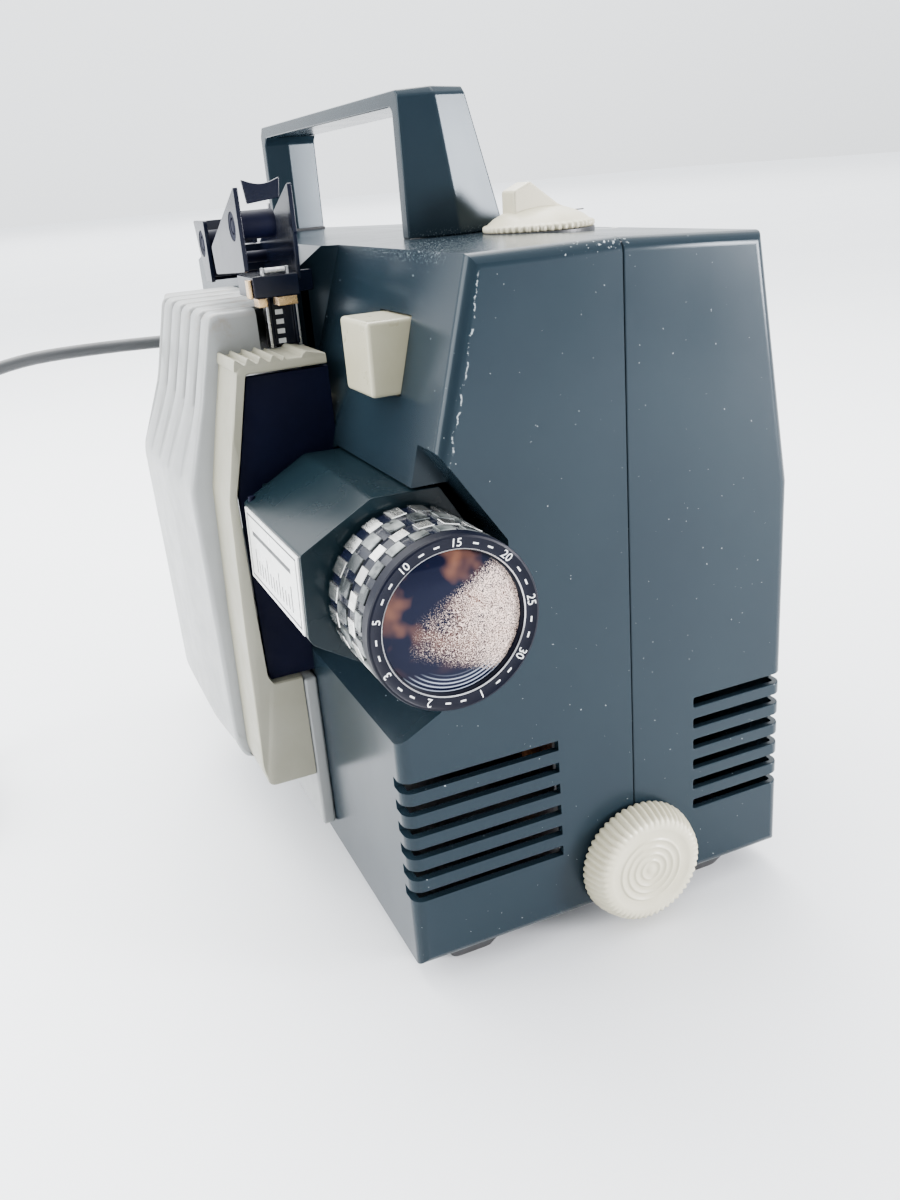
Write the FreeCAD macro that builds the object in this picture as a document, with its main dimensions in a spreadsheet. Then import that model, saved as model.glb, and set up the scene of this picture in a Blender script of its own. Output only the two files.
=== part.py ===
import FreeCAD, Part
import math
import os
import Sketcher
from FreeCAD import Placement, Rotation, Vector

# A compact film projector with a zoom lens, folding reel arms and a carrying handle.
# Design frame: X = 0 on the front seam, Y = 0 on the front face, Z = 0 on the table.
# +X is the right-hand side seen from the front, +Y runs to the back, +Z is up.

SIZES = {
    "case_right": 59.4, "case_deep": 278, "case_bottom": 9.1, "case_top": 221,
    "wall": 2.6, "seam_gap": 0.2,
    "low_left": 78.8, "high_left": 60, "side_slope": 0.261, "side_foot": 61.75,
    "side_foot_z": 158, "right_fold_z": 142.7, "right_top": 47.3, "right_top_z": 218.5,
    "ledge_z": 78, "well_deep": 85, "shoulder_y": 106,
    "well_low_z": 88.4, "well_mid_x": 64.7, "well_mid_z": 95.7, "well_in_x": 39.5,
    "well_in_low": 112, "well_in_high": 143.5, "well_top_z": 171.2, "cheek_front": 15,
    "cheek_foot": 159.2, "edge_round": 4,
    "grille_thick": 2,
    "slot_count": 6, "slot_pitch": 7.67, "slot_height": 3.5, "slot_top": 75.5,
    "slot_left_end": 26.8, "slot_right_end": 23.4, "slot_wrap": 7,
    "axis_x": -65.4, "axis_z": 130.8,
    "lens_front": -20, "ring_radius": 24.6, "block_front": 15.1, "block_back": 80.5,
    "tube_radius": 19, "zoom_back": 13.5, "ring_join": -3.2, "bezel_join": -15,
    "lip_front": 83.2, "cover_front": 108,
    "cover_back": 216, "cover_low": 38.3, "cover_top": 203.5, "cover_wall": 2.4,
    "cover_join": 60.5, "rib_count": 5, "rib_pitch": 18, "rib_gap": 6, "rib_deep": 1.2,
    "rib_low": 168, "cover_out": 110.3, "tooth_count": 4, "tooth_pitch": 3.7, "tooth_deep": 1.1,
    "plate_thick": 5, "plate_low": 16.4,
    "key_front": 33, "key_back": 58, "key_top": 203.4, "key_low": 182, "key_out": 64,
    "key_gap": 0.5,
    "carrier_x": 93.5, "carrier_y": 77.5,
    "knob_z": 24.2, "knob_radius": 20.8, "knob_face": 18.5, "knob_deep": 9.5,
    "dial_x": 12.2, "dial_y": 70.7, "dial_radius": 18.7, "dial_high": 7.5, "grip_high": 15,
    "handle_left": 25.5, "handle_right": 1.7, "handle_flare": 13, "handle_front": 91,
    "handle_back": 266, "handle_top": 267, "handle_thick": 8,
    "arm_in": 61.5, "arm_out": 80.5, "arm_wall": 1.6, "arm_high": 242,
    "arm_front": 97.5, "arm_long": 46, "rear_arm_y": 152, "rear_arm_high": 231.6,
    "rear_arm_long": 18, "pin_radius": 2, "pin_long": 29.3, "chute_x": 67, "chute_wide": 9.4, "chute_front": 108,
    "chute_thick": 3, "chute_low": 190.4, "chute_high": 207.2,
    "foot_high": 9.1, "foot_top": 24, "foot_low": 15,
    "sprocket_y": 101.5, "sprocket_low": 92, "sprocket_high": 172, "sprocket_radius": 9,
    "shutter_x": -38, "motor_x": 8, "motor_z": 60, "motor_radius": 24, "lamp_y": 150, "shield_x": -32,
    "cord_radius": 2.75, "cord_y": 247, "cord_z": 180.5, "relief_long": 32.6,
    "coil_x": -244, "coil_y": 205, "coil_radius": 30, "turns_across": 3, "layers": 3,
}
ALIASES = "Dims"


class Size:
    """A number that also carries the spreadsheet expression it was worked out from."""

    def __init__(self, value, text):
        self.value = float(value)
        self.text = text

    def __add__(self, other):
        other = sized(other)
        return Size(self.value + other.value, f"({self.text} + {other.text})")

    def __sub__(self, other):
        other = sized(other)
        return Size(self.value - other.value, f"({self.text} - {other.text})")

    def __mul__(self, other):
        other = sized(other)
        return Size(self.value * other.value, f"({self.text} * {other.text})")

    def __truediv__(self, other):
        other = sized(other)
        return Size(self.value / other.value, f"({self.text} / {other.text})")

    def __neg__(self):
        return Size(-self.value, f"(0 - {self.text})")

    def __radd__(self, other):
        return sized(other) + self

    def __rsub__(self, other):
        return sized(other) - self

    def __rmul__(self, other):
        return sized(other) * self


def sized(number):
    if isinstance(number, Size):
        return number
    text = f"{abs(number):.9g}"
    return Size(number, f"(0 - {text})" if number < 0 else text)


class Sheet:
    """The driving dimensions, as attributes that are bound to their cells."""

    def __init__(self, doc, sizes):
        self.cells = doc.addObject("Spreadsheet::Sheet", ALIASES)
        for row, (alias, number) in enumerate(sizes.items(), start=1):
            self.cells.set(f"A{row}", alias)
            self.cells.set(f"B{row}", str(number))
            self.cells.setAlias(f"B{row}", alias)
            setattr(self, alias, Size(number, f"{ALIASES}.{alias}"))
        doc.recompute()


doc = FreeCAD.newDocument("film_projector")
d = Sheet(doc, SIZES)

# The object's own origin: the middle of its outline on the table. Its outline runs from
# the film cover to the right-hand fold, and from the lens to the cord outlet's plate.
origin_x = (d.cover_out - d.case_right) / 2
origin_y = -(d.lens_front + d.case_deep + d.grille_thick) / 2


def bind(thing, prop, size):
    size = sized(size)
    thing.setExpression(prop, size.text)


def place(thing, x=0, y=0, z=0, turn=None):
    """Puts a sub-part's own origin at a point of the design frame."""
    turn = turn or Rotation()
    where = [sized(x) + origin_x, sized(y) + origin_y, sized(z)]
    thing.Placement = Placement(Vector(*[w.value for w in where]), turn)
    for letter, size in zip("xyz", where):
        bind(thing, f"Placement.Base.{letter}", size)


def new_body(label):
    body = doc.addObject("PartDesign::Body", label)
    body.Label = label
    place(body)
    return body


def origin_plane(body, role):
    return next(f for f in body.Origin.OriginFeatures if f.Role == role)


# How a sketch on each origin plane is pushed along its axis: the sign of the plane's
# normal on that axis, and which way a Pad and a Pocket have to be reversed.
PLANES = {"XY": ("XY_Plane", 1), "XZ": ("XZ_Plane", -1), "YZ": ("YZ_Plane", 1)}


def new_sketch(body, plane, start):
    role, sign = PLANES[plane]
    sketch = body.newObject("Sketcher::SketchObject", f"{body.Name}_sketch")
    sketch.AttachmentSupport = (origin_plane(body, role), [""])
    sketch.MapMode = "FlatFace"
    offset = sized(start) * sign
    sketch.AttachmentOffset = Placement(Vector(0, 0, offset.value), Rotation())
    bind(sketch, "AttachmentOffset.Base.z", offset)
    return sketch


def pin_point(sketch, line, across, along):
    for kind, size in (("DistanceX", across), ("DistanceY", along)):
        size = sized(size)
        index = sketch.addConstraint(Sketcher.Constraint(kind, -1, 1, line, 1, size.value))
        bind(sketch, f"Constraints[{index}]", size)


def polygon(sketch, points):
    """A closed outline whose corners are all tied to the sheet."""
    first = sketch.GeometryCount
    corners = [Vector(sized(p).value, sized(q).value, 0) for p, q in points]
    count = len(corners)
    for i in range(count):
        sketch.addGeometry(Part.LineSegment(corners[i], corners[(i + 1) % count]), False)
    for i in range(count):
        nxt = first + (i + 1) % count
        sketch.addConstraint(Sketcher.Constraint("Coincident", first + i, 2, nxt, 1))
    for i, (across, along) in enumerate(points):
        pin_point(sketch, first + i, across, along)


def circle(sketch, across, along, radius):
    where = Vector(sized(across).value, sized(along).value, 0)
    index = sketch.addGeometry(Part.Circle(where, Vector(0, 0, 1), sized(radius).value), False)
    for kind, size in (("DistanceX", across), ("DistanceY", along)):
        size = sized(size)
        link = sketch.addConstraint(Sketcher.Constraint(kind, -1, 1, index, 3, size.value))
        bind(sketch, f"Constraints[{link}]", size)
    link = sketch.addConstraint(Sketcher.Constraint("Radius", index, sized(radius).value))
    bind(sketch, f"Constraints[{link}]", radius)


def draw(sketch, shape):
    """A shape is a list of corners, or (across, along, radius) for a circle."""
    if isinstance(shape, tuple):
        circle(sketch, *shape)
    else:
        polygon(sketch, shape)


def push(body, kind, plane, shapes, start, end):
    """Pads or pockets one or more outlines from start to end along the plane's axis."""
    sketch = new_sketch(body, plane, start)
    for shape in shapes if isinstance(shapes[0], (list, tuple)) and is_many(shapes) else [shapes]:
        draw(sketch, shape)
    feature = body.newObject(f"PartDesign::{kind}", f"{body.Name}_{kind}")
    feature.Profile = sketch
    length = sized(end) - start
    feature.Length = length.value
    bind(feature, "Length", length)
    forward = PLANES[plane][1] > 0
    feature.Reversed = (not forward) if kind == "Pad" else forward
    doc.recompute()
    return feature


def is_many(shapes):
    """True for a list of shapes, False for one outline's list of corners."""
    return isinstance(shapes, list) and (isinstance(shapes[0], list) or len(shapes[0]) == 3)


def pad(body, plane, shapes, start, end):
    return push(body, "Pad", plane, shapes, start, end)


def pocket(body, plane, shapes, start, end):
    before = body.Shape.Volume
    feature = push(body, "Pocket", plane, shapes, start, end)
    if body.Shape.Volume > before - 1e-3:
        raise RuntimeError(f"{body.Label}: a pocket cut nothing")
    return feature


def prism(label, plane, shapes, start, end):
    body = new_body(label)
    pad(body, plane, shapes, start, end)
    return body


def rectangle(left, low, right, high):
    return [(left, low), (right, low), (right, high), (left, high)]


def turned(label, profile, x=0, y=0, z=0, turn=None):
    """A turned piece: (radius, height) corners spun about the sub-part's own Z axis."""
    body = new_body(label)
    spin(body, profile)
    place(body, x, y, z, turn)
    return body


def spin(body, profile, kind="Revolution"):
    sketch = new_sketch(body, "XZ", 0)
    polygon(sketch, profile)
    feature = body.newObject(f"PartDesign::{kind}", f"{body.Name}_{kind}")
    feature.Profile = sketch
    feature.ReferenceAxis = (sketch, ["V_Axis"])
    feature.Angle = 360
    doc.recompute()
    return feature


def repeat(body, feature, count, pitch, axis="V_Axis", backwards=False):
    """A straight row of copies of a feature along one axis of its own sketch."""
    pattern = body.newObject("PartDesign::LinearPattern", f"{body.Name}_row")
    pattern.Originals = [feature]
    pattern.Direction = (feature.Profile[0], [axis])
    pattern.Reversed = backwards
    bind(pattern, "Occurrences", count)
    bind(pattern, "Length", (sized(count) - 1) * pitch)
    body.Tip = pattern
    doc.recompute()
    return pattern


def around(body, feature, count, axis="V_Axis"):
    """Copies of a feature spaced evenly about the axis of its own sketch."""
    pattern = body.newObject("PartDesign::PolarPattern", f"{body.Name}_ring")
    pattern.Originals = [feature]
    pattern.Axis = (origin_plane(body, "Z_Axis"), [""])
    pattern.Angle = 360
    pattern.Occurrences = count
    body.Tip = pattern
    doc.recompute()
    return pattern


def soften(body, radius, wanted, kind="Fillet"):
    """Rounds or chamfers the edges of the body that wanted() picks."""
    tip = body.Tip
    names = [f"Edge{i}" for i, e in enumerate(tip.Shape.Edges, start=1) if wanted(e)]
    if not names:
        raise RuntimeError(f"{body.Label}: no edge to soften")
    feature = body.newObject(f"PartDesign::{kind}", f"{body.Name}_{kind}")
    feature.Base = (tip, names)
    prop = "Radius" if kind == "Fillet" else "Size"
    bind(feature, prop, radius)
    doc.recompute()
    return feature


def lies_at(edge, axis, where, slack=0.05):
    """True if every end of the edge has this coordinate on this axis."""
    return all(abs(getattr(v.Point, axis) - where) < slack for v in edge.Vertexes)


def group(label, pieces):
    """Identical loose pieces that share one node."""
    fused = doc.addObject("Part::Compound", label)
    fused.Label = label
    fused.Links = pieces
    return fused


def rod(name, radius, length, turn, x, y, z):
    """A plain round rod from a point, along the turned Z axis."""
    piece = doc.addObject("Part::Cylinder", name)
    bind(piece, "Radius", radius)
    bind(piece, "Height", length)
    place(piece, x, y, z, turn)
    return piece


ALONG_X = Rotation(Vector(0, 1, 0), 90)
ALONG_Y = Rotation(Vector(1, 0, 0), -90)
FACING_FRONT = Rotation(Vector(1, 0, 0), 90)
FACING_LEFT = Rotation(Vector(0, 1, 0), -90)
nodes = []


def side_x(height):
    """The slanted upper left side of the casing, at a height."""
    return (sized(height) - d.side_foot_z) * d.side_slope - d.side_foot


# ---------------------------------------------------------------- casing shells

def left_shell():
    body = new_body("left_shell")
    seam = -d.seam_gap
    rear = [
        (-d.low_left, d.case_bottom), (-d.low_left, d.ledge_z), (-d.high_left, d.ledge_z),
        (-d.high_left, d.case_top - 9), (side_x(d.case_top) - 5, d.case_top),
        (seam, d.case_top), (seam, d.case_bottom),
    ]
    pad(body, "XZ", rear, d.well_deep, d.case_deep)
    # the shoulder beside the film chute leans back and runs back to the left
    shoulder = [
        (-d.high_left - 2, d.well_deep - 1), (-30, d.well_deep - 1), (-30, d.shoulder_y - 8),
        (side_x(d.case_top), d.shoulder_y), (-d.high_left - 2, d.shoulder_y + 15),
    ]
    pocket(body, "XY", shoulder, d.side_foot_z + 3, d.case_top + 1)
    front = [
        (-d.low_left, d.case_bottom), (-d.low_left, d.well_low_z),
        (-d.well_mid_x, d.well_mid_z), (-d.well_in_x, d.well_in_low),
        (-d.well_in_x, d.well_in_high), (side_x(d.well_top_z), d.well_top_z),
        (side_x(d.case_top), d.case_top), (seam, d.case_top), (seam, d.case_bottom),
    ]
    pad(body, "XZ", front, 0, d.well_deep)
    # behind the lens rings the slanted side runs further down, to just above the lens block
    cheek = [
        (side_x(d.well_top_z + 1), d.well_top_z + 1), (side_x(d.cheek_foot), d.cheek_foot),
        (-48, d.cheek_foot), (-52, d.well_top_z + 1),
    ]
    pad(body, "XZ", cheek, d.cheek_front, d.well_deep)
    upper = [
        (side_x(d.side_foot_z), d.side_foot_z), (side_x(d.case_top), d.case_top),
        (seam, d.case_top), (seam, d.side_foot_z),
    ]
    pad(body, "XZ", upper, d.well_deep - 1, d.shoulder_y + 12)
    outer = lambda e: lies_at(e, "y", 0) and e.CenterOfMass.x < -1 and not in_well(e)
    soften(body, d.edge_round, outer)
    w = d.wall
    front_room = [
        (w - d.low_left, d.case_bottom + w), (w - d.low_left, d.well_low_z - w),
        (w - d.well_mid_x, d.well_mid_z - w), (w - d.well_in_x, d.well_in_low - w * 0.4),
        (w - d.well_in_x, d.well_in_high + w * 0.4),
        (side_x(d.well_top_z) + w * 1.3, d.well_top_z + w * 0.3),
        (side_x(d.case_top) + w, d.case_top - w), (1, d.case_top - w),
        (1, d.case_bottom + w),
    ]
    pocket(body, "XZ", front_room, w, d.well_deep + w)
    cheek_room = [
        (side_x(d.well_top_z + 4) + w, d.well_top_z + 4),
        (side_x(d.cheek_foot + w) + w, d.cheek_foot + w), (-44, d.cheek_foot + w),
        (-44, d.well_top_z + 4),
    ]
    pocket(body, "XZ", cheek_room, d.cheek_front + w, d.well_deep + w)
    upper_room = [
        (side_x(d.side_foot_z) + w + 1, d.side_foot_z + 6),
        (side_x(d.case_top) + w, d.case_top - w), (1, d.case_top - w),
        (1, d.side_foot_z + 6),
    ]
    pocket(body, "XZ", upper_room, d.well_deep - 2, d.shoulder_y + 10)
    rear_room = [
        (w - d.low_left, d.case_bottom + w), (w - d.low_left, d.ledge_z - w),
        (w - d.high_left, d.ledge_z - w), (w - d.high_left, d.case_top - 9 - w * 0.4),
        (side_x(d.case_top) + w - 5, d.case_top - w), (1, d.case_top - w),
        (1, d.case_bottom + w),
    ]
    pocket(body, "XZ", rear_room, d.shoulder_y + 9, d.case_deep - w)
    low_room = [
        (w - d.low_left, d.case_bottom + w), (w - d.low_left, d.ledge_z - w),
        (w - d.high_left, d.ledge_z - w), (w - d.high_left, d.side_foot_z - 4),
        (1, d.side_foot_z - 4), (1, d.case_bottom + w),
    ]
    pocket(body, "XZ", low_room, d.well_deep + w, d.shoulder_y + 10)
    slot = rectangle(-d.low_left - 2, d.slot_top - d.slot_height, -d.slot_left_end, d.slot_top)
    cut = pocket(body, "XZ", slot, -1, d.slot_wrap)
    repeat(body, cut, d.slot_count, d.slot_pitch, backwards=True)
    key = rectangle(d.key_front - d.key_gap, d.key_low - d.key_gap,
                    d.key_back + d.key_gap, d.key_top + d.key_gap)
    pocket(body, "YZ", key, -d.low_left, -38)
    bore = (0, d.knob_z, sized(3.3))
    pocket(body, "XZ", bore, -1, 10)
    # the wall beside the film: light window, sprocket bores, arm pin bores, cord outlet
    window = rectangle(d.well_deep + 12, d.axis_z - 29, 182, d.axis_z + 26)
    pocket(body, "YZ", window, -d.high_left - 1, 4 - d.high_left)
    for height in (d.sprocket_low, d.sprocket_high):
        pocket(body, "YZ", (d.sprocket_y, height, sized(2.05)), -d.high_left - 3, -48)
    for pin in (
        (d.arm_front + d.arm_long - 8, d.arm_high - 23.5, d.pin_radius),
        (d.rear_arm_y + 5.5, d.rear_arm_high - 18, d.pin_radius),
    ):
        pocket(body, "YZ", pin, -d.high_left - 1, -48)
    pocket(body, "YZ", (d.cord_y, d.cord_z, sized(5.3)), -d.high_left - 1, 4 - d.high_left)
    nodes.append(body)


def in_well(edge):
    """True for the edges of the lens well on the front face."""
    middle = edge.CenterOfMass
    return middle.x < -38 and 88.2 < middle.z < 171.3 and not abs(middle.x + 78.8) < 0.1


def right_shell():
    body = new_body("right_shell")
    seam = d.seam_gap
    outline = [
        (seam, d.case_bottom), (d.case_right, d.case_bottom), (d.case_right, d.right_fold_z),
        (d.right_top, d.right_top_z), (seam, d.case_top),
    ]
    pad(body, "XZ", outline, 0, d.case_deep)
    soften(body, d.edge_round, lambda e: lies_at(e, "y", 0) and e.CenterOfMass.x > 1)
    w = d.wall
    room = [
        (-1, d.case_bottom + w), (d.case_right - w, d.case_bottom + w),
        (d.case_right - w, d.right_fold_z - w * 0.2), (d.right_top - w, d.right_top_z - w),
        (-1, d.case_top - w),
    ]
    pocket(body, "XZ", room, w, d.case_deep - w)
    slot = rectangle(d.slot_right_end, d.slot_top - d.slot_height + 0.7,
                     d.case_right + 2, d.slot_top + 0.7)
    cut = pocket(body, "XZ", slot, -1, d.slot_wrap)
    repeat(body, cut, d.slot_count, d.slot_pitch, backwards=True)
    pocket(body, "XZ", (0, d.knob_z, sized(3.3)), -1, 10)
    pocket(body, "XY", rectangle(6.5, 15.5, 12.5, 25.5), d.case_bottom - 1, d.case_bottom + 4)
    pocket(body, "XY", (d.dial_x, d.dial_y, sized(3.2)), d.case_top - 8, d.case_top + 1)
    nodes.append(body)


# ---------------------------------------------------------------- casing details

def rubber_feet():
    """Four tapered feet, one group: narrow on the table, wide under the casing."""
    feet = []
    for side, x in (("left", -57), ("right", 33)):
        for end, y in (("front", 17), ("rear", 250)):
            foot = doc.addObject("Part::Wedge", f"foot_{side}_{end}")
            half_top, half_low = d.foot_top / 2, d.foot_low / 2
            for prop, size in (
                ("Ymin", 0), ("Ymax", d.foot_high), ("Xmin", -half_low), ("Xmax", half_low),
                ("Zmin", -half_low), ("Zmax", half_low), ("X2min", -half_top),
                ("X2max", half_top), ("Z2min", -half_top), ("Z2max", half_top),
            ):
                bind(foot, prop, size)
            place(foot, x, y, 0, Rotation(Vector(1, 0, 0), 90))
            feet.append(foot)
    nodes.append(group("rubber_feet", feet))


def rear_grille():
    body = prism("rear_grille", "XZ", rectangle(-42, 60, 42, 150), d.case_deep,
                 d.case_deep + d.grille_thick)
    slot = rectangle(-36, 68, 36, 71.5)
    cut = pocket(body, "XZ", slot, d.case_deep + 0.8, d.case_deep + d.grille_thick + 1)
    repeat(body, cut, 9, 8.7)
    nodes.append(body)


def carrying_handle():
    """A flat band bent into an arch, with a front post that widens to the right."""
    front, back, top, t = d.handle_front, d.handle_back, d.handle_top, d.handle_thick
    arch = [
        (front, d.case_top), (front, top - 3), (front + 3, top), (back - 3, top),
        (back, top - 3), (back, d.case_top), (back - t, d.case_top),
        (back - t, top - t), (front + t, top - t), (front + t, d.case_top),
    ]
    body = prism("carrying_handle", "YZ", arch, -d.handle_left, -d.handle_right)
    flare = [
        (-d.handle_right - 1, d.case_top), (d.handle_flare - 3, d.case_top),
        (-d.handle_right, top - 6), (-d.handle_right - 1, top - 6),
    ]
    pad(body, "XZ", flare, front, front + t)
    nodes.append(body)


# ---------------------------------------------------------------- film side

def film_plate():
    """The light plate at the foot of the film side, under the cover's edge."""
    body = prism("film_plate", "YZ", rectangle(d.lip_front, d.plate_low, 214, d.ledge_z - 0.5),
                 -d.low_left - d.plate_thick, -d.low_left)
    nodes.append(body)


def film_cover():
    body = new_body("film_cover")
    lip, w = d.lip_front, d.cover_wall
    rest = -d.low_left - d.plate_thick - 0.2
    frame = [
        (-d.cover_join - 0.7, 186.2), (-d.cover_join - 0.7, 189.4), (-90.8, 189.4),
        (-99.8, 147.9), (-107.6, 46), (-104, d.cover_low), (rest, d.cover_low),
        (rest, 78.4), (-96, 78.7), (-96.9, 146.8), (-88.3, 186),
    ]
    pad(body, "XZ", frame, lip, d.cover_front + 3)
    hull = [
        (-d.cover_join, 78.6), (-d.cover_join, d.cover_top), (-92.4, d.cover_top),
        (-105.7, 161), (-107.8, 142), (-d.cover_out, 80), (-108.3, 46),
        (-104.5, d.cover_low), (rest, d.cover_low), (rest, 78.6),
    ]
    pad(body, "XZ", hull, d.cover_front, d.cover_back)
    room = [
        (-50, 74), (-50, d.cover_top - w), (w * 0.7 - 92.4, d.cover_top - w),
        (w - 105.7, 160.6), (w - 107.8, 141.8), (w - d.cover_out, 80), (w - 108.3, 47),
        (w - 104.9, d.cover_low + w), (-80, d.cover_low + w), (-80, 74),
    ]
    pocket(body, "XZ", room, d.cover_front + w, d.cover_back - w)
    mouth = [(-50, 186.2), (-88.3, 186), (-96.9, 146.8), (-96, 78.7), (-50, 78.7)]
    pocket(body, "XZ", mouth, lip - 1, d.cover_front + w + 1)
    chin = [(-80, d.cover_low + w), (-80, 76), (-103.2, 76), (-104.8, 47),
            (-102.6, d.cover_low + w)]
    pocket(body, "XZ", chin, lip + w, d.cover_front + w + 1)
    notch = rectangle(-76.4, lip + 24, -50, 123)
    pocket(body, "XY", notch, 189.5, d.cover_top + 1)
    tooth = [(-90.8, 189.5), (-88.6, 189.4 - d.tooth_deep), (-87.2, 189.5)]
    cut = pocket(body, "XZ", tooth, lip - 1, d.cover_front)
    repeat(body, cut, d.tooth_count, d.tooth_pitch, axis="H_Axis")
    pocket(body, "XZ", (-75.2, 192.6, sized(4.6)), lip - 1, lip + 12)
    g = d.rib_deep
    flute = [
        (-125, d.rib_low), (g - 103.5, d.rib_low), (g - 92.3, d.cover_top - g),
        (-77.5, d.cover_top - g), (-77.5, d.cover_top + 3), (-125, d.cover_top + 3),
    ]
    start = d.cover_front + 11
    cut = push(body, "Pocket", "XZ", flute, start, start + d.rib_gap)
    sketch = cut.Profile[0]
    row = body.newObject("PartDesign::LinearPattern", "film_cover_flutes")
    row.Originals = [cut]
    row.Direction = (sketch, ["N_Axis"])
    row.Reversed = True
    bind(row, "Occurrences", d.rib_count)
    bind(row, "Length", (d.rib_count - 1) * d.rib_pitch)
    body.Tip = row
    doc.recompute()
    nodes.append(body)


def film_chute():
    """The marked channel that guides the film's end down into the mechanism."""
    half = d.chute_wide / 2
    y = d.chute_front
    channel = [
        (-d.chute_x - half, y), (-d.chute_x - half, y + d.chute_thick),
        (-d.chute_x + half, y + d.chute_thick), (-d.chute_x + half, y),
        (-d.chute_x + half - 0.9, y), (-d.chute_x + half - 0.9, y + 1.4),
        (0.9 - d.chute_x - half, y + 1.4), (0.9 - d.chute_x - half, y),
    ]
    body = prism("film_chute", "XY", channel, d.chute_low, d.chute_high)
    rib = rectangle(-66, y + d.chute_thick - 0.2, -63, 119.5)
    pad(body, "XY", rib, d.chute_low, d.chute_high)
    nodes.append(body)


def gate_panel():
    """The dark panel inside the cover's mouth, with the hinge lugs of the lens carrier."""
    panel = [
        (-60, 79), (-60, 154), (-62.4, 157), (-62.4, 185.2), (-87.6, 185.2),
        (-96, 146.7), (-95.2, 79.4),
    ]
    y = d.well_deep + 1
    body = prism("gate_panel", "XZ", panel, y, y + 2.5)
    pocket(body, "XZ", (d.axis_x, d.axis_z, sized(8)), y - 1, y + 4)
    lug = [
        (-96, y + 1), (-96, d.carrier_y - 1), (-94.8, d.carrier_y - 2.4),
        (-92.2, d.carrier_y - 2.4), (-91, d.carrier_y - 1), (-91, y + 1),
    ]
    for low in (117.5, 145.5):
        pad(body, "XY", lug, low, low + 3)
        pocket(body, "XY", (-d.carrier_x, d.carrier_y, sized(1.2)), low - 1, low + 4)
    nodes.append(body)


def film_gate():
    body = prism("film_gate", "XZ", rectangle(-72, 108, -60, 154), d.well_deep + 3.5,
                 d.well_deep + 6.5)
    hole = rectangle(d.axis_x - 2.9, d.axis_z - 2.1, d.axis_x + 2.9, d.axis_z + 2.1)
    pocket(body, "XZ", hole, d.well_deep + 3, d.well_deep + 7)
    nodes.append(body)


def sprockets():
    r = d.sprocket_radius
    for label, height in (("upper_sprocket", d.sprocket_high), ("lower_sprocket", d.sprocket_low)):
        profile = [
            (0, 0), (r - 1, 0), (r, 0.6), (r, 2.2), (r - 1.2, 3), (r - 1.2, 7), (r, 7.8),
            (r, 9.2), (4, 9.8), (4, 10.2), (2, 10.2), (2, 30), (0, 30),
        ]
        body = turned(label, profile, -71.5, d.sprocket_y, height, ALONG_X)
        nodes.append(body)


# ---------------------------------------------------------------- lens carrier and lens

def lens_carrier():
    body = new_body("lens_carrier")
    block = [
        (-52.8, 158.2), (-73.4, 158.6), (-95.6, 146.2), (-96.4, 121.5), (-95.2, 119.1),
        (-84.8, 112.4), (-72, 104.5), (-60, 104.5), (-43, 115), (-43, 142),
    ]
    pad(body, "XZ", block, d.block_front, d.block_back)
    foot = rectangle(-88, 108, -50, 150)
    pad(body, "XZ", foot, d.block_back - 1, d.well_deep - 0.2)
    pocket(body, "XZ", (d.axis_x, d.axis_z, d.tube_radius + 0.08), d.block_front - 1, 90)
    for low, high in ((110, 121), (145, 160)):
        pocket(body, "XY", (-d.carrier_x, d.carrier_y, sized(4.4)), low, high)
    pocket(body, "XY", (-d.carrier_x, d.carrier_y, sized(1.26)), 110, 160)
    nodes.append(body)
    pin = rod("carrier_pin", 1.2, 31, Rotation(), -d.carrier_x, d.carrier_y, 117.5)
    nodes.append(pin)
    label = prism("label_plate", "YZ", rectangle(18, 123.5, 76, 144.5), -97.2, -96.4)
    nodes.append(label)


def lens():
    x, z, r = d.axis_x, d.axis_z, d.ring_radius
    tube = [
        (15.5, -11), (d.tube_radius, -11), (d.tube_radius, 70), (15.5, 70),
    ]
    nodes.append(turned("lens_tube", tube, x, 0, z, ALONG_Y))
    bore = d.tube_radius + 0.08
    zoom = [(bore, d.ring_join + 0.4), (r, d.ring_join + 0.4), (r, d.zoom_back), (bore, d.zoom_back)]
    nodes.append(turned("zoom_ring", zoom, x, 0, z, ALONG_Y))
    focus = [
        (bore, d.bezel_join + 3.8), (bore, d.ring_join), (r, d.ring_join), (r, d.bezel_join),
        (19.8, d.bezel_join), (19.8, d.bezel_join + 3.8),
    ]
    nodes.append(turned("focus_ring", focus, x, 0, z, ALONG_Y))
    bezel = [
        (19.8, d.bezel_join), (r - 0.2, d.bezel_join), (r, d.bezel_join - 1),
        (r, d.lens_front + 1), (r - 1, d.lens_front), (20.6, d.lens_front), (19.8, d.bezel_join - 2),
    ]
    nodes.append(turned("front_bezel", bezel, x, 0, z, ALONG_Y))
    glass("front_glass", 19.7, 60, d.bezel_join - 1.5, 5.2)
    glass("rear_glass", 15.4, 45, sized(60), 5)


def glass(label, radius, curve, front, thick):
    """A plano-convex element, bulging towards the front."""
    disc = doc.addObject("Part::Cylinder", f"{label}_disc")
    bind(disc, "Radius", radius)
    bind(disc, "Height", thick)
    place(disc, d.axis_x, front, d.axis_z, ALONG_Y)
    ball = doc.addObject("Part::Sphere", f"{label}_ball")
    bind(ball, "Radius", curve)
    place(ball, d.axis_x, sized(front) + curve, d.axis_z)
    both = doc.addObject("Part::Common", label)
    both.Base, both.Tool = disc, ball
    both.Label = label
    nodes.append(both)


# ---------------------------------------------------------------- controls

def function_key():
    """The large press key on the slanted side of the casing."""
    outline = [
        (-d.key_out + 0.7, d.key_top), (-d.key_out, d.key_low), (-46, d.key_low),
        (-46, d.key_top),
    ]
    body = prism("function_key", "XZ", outline, d.key_front, d.key_back)
    soften(body, 1.3, lambda e: e.CenterOfMass.x < -62.5)
    nodes.append(body)


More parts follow.
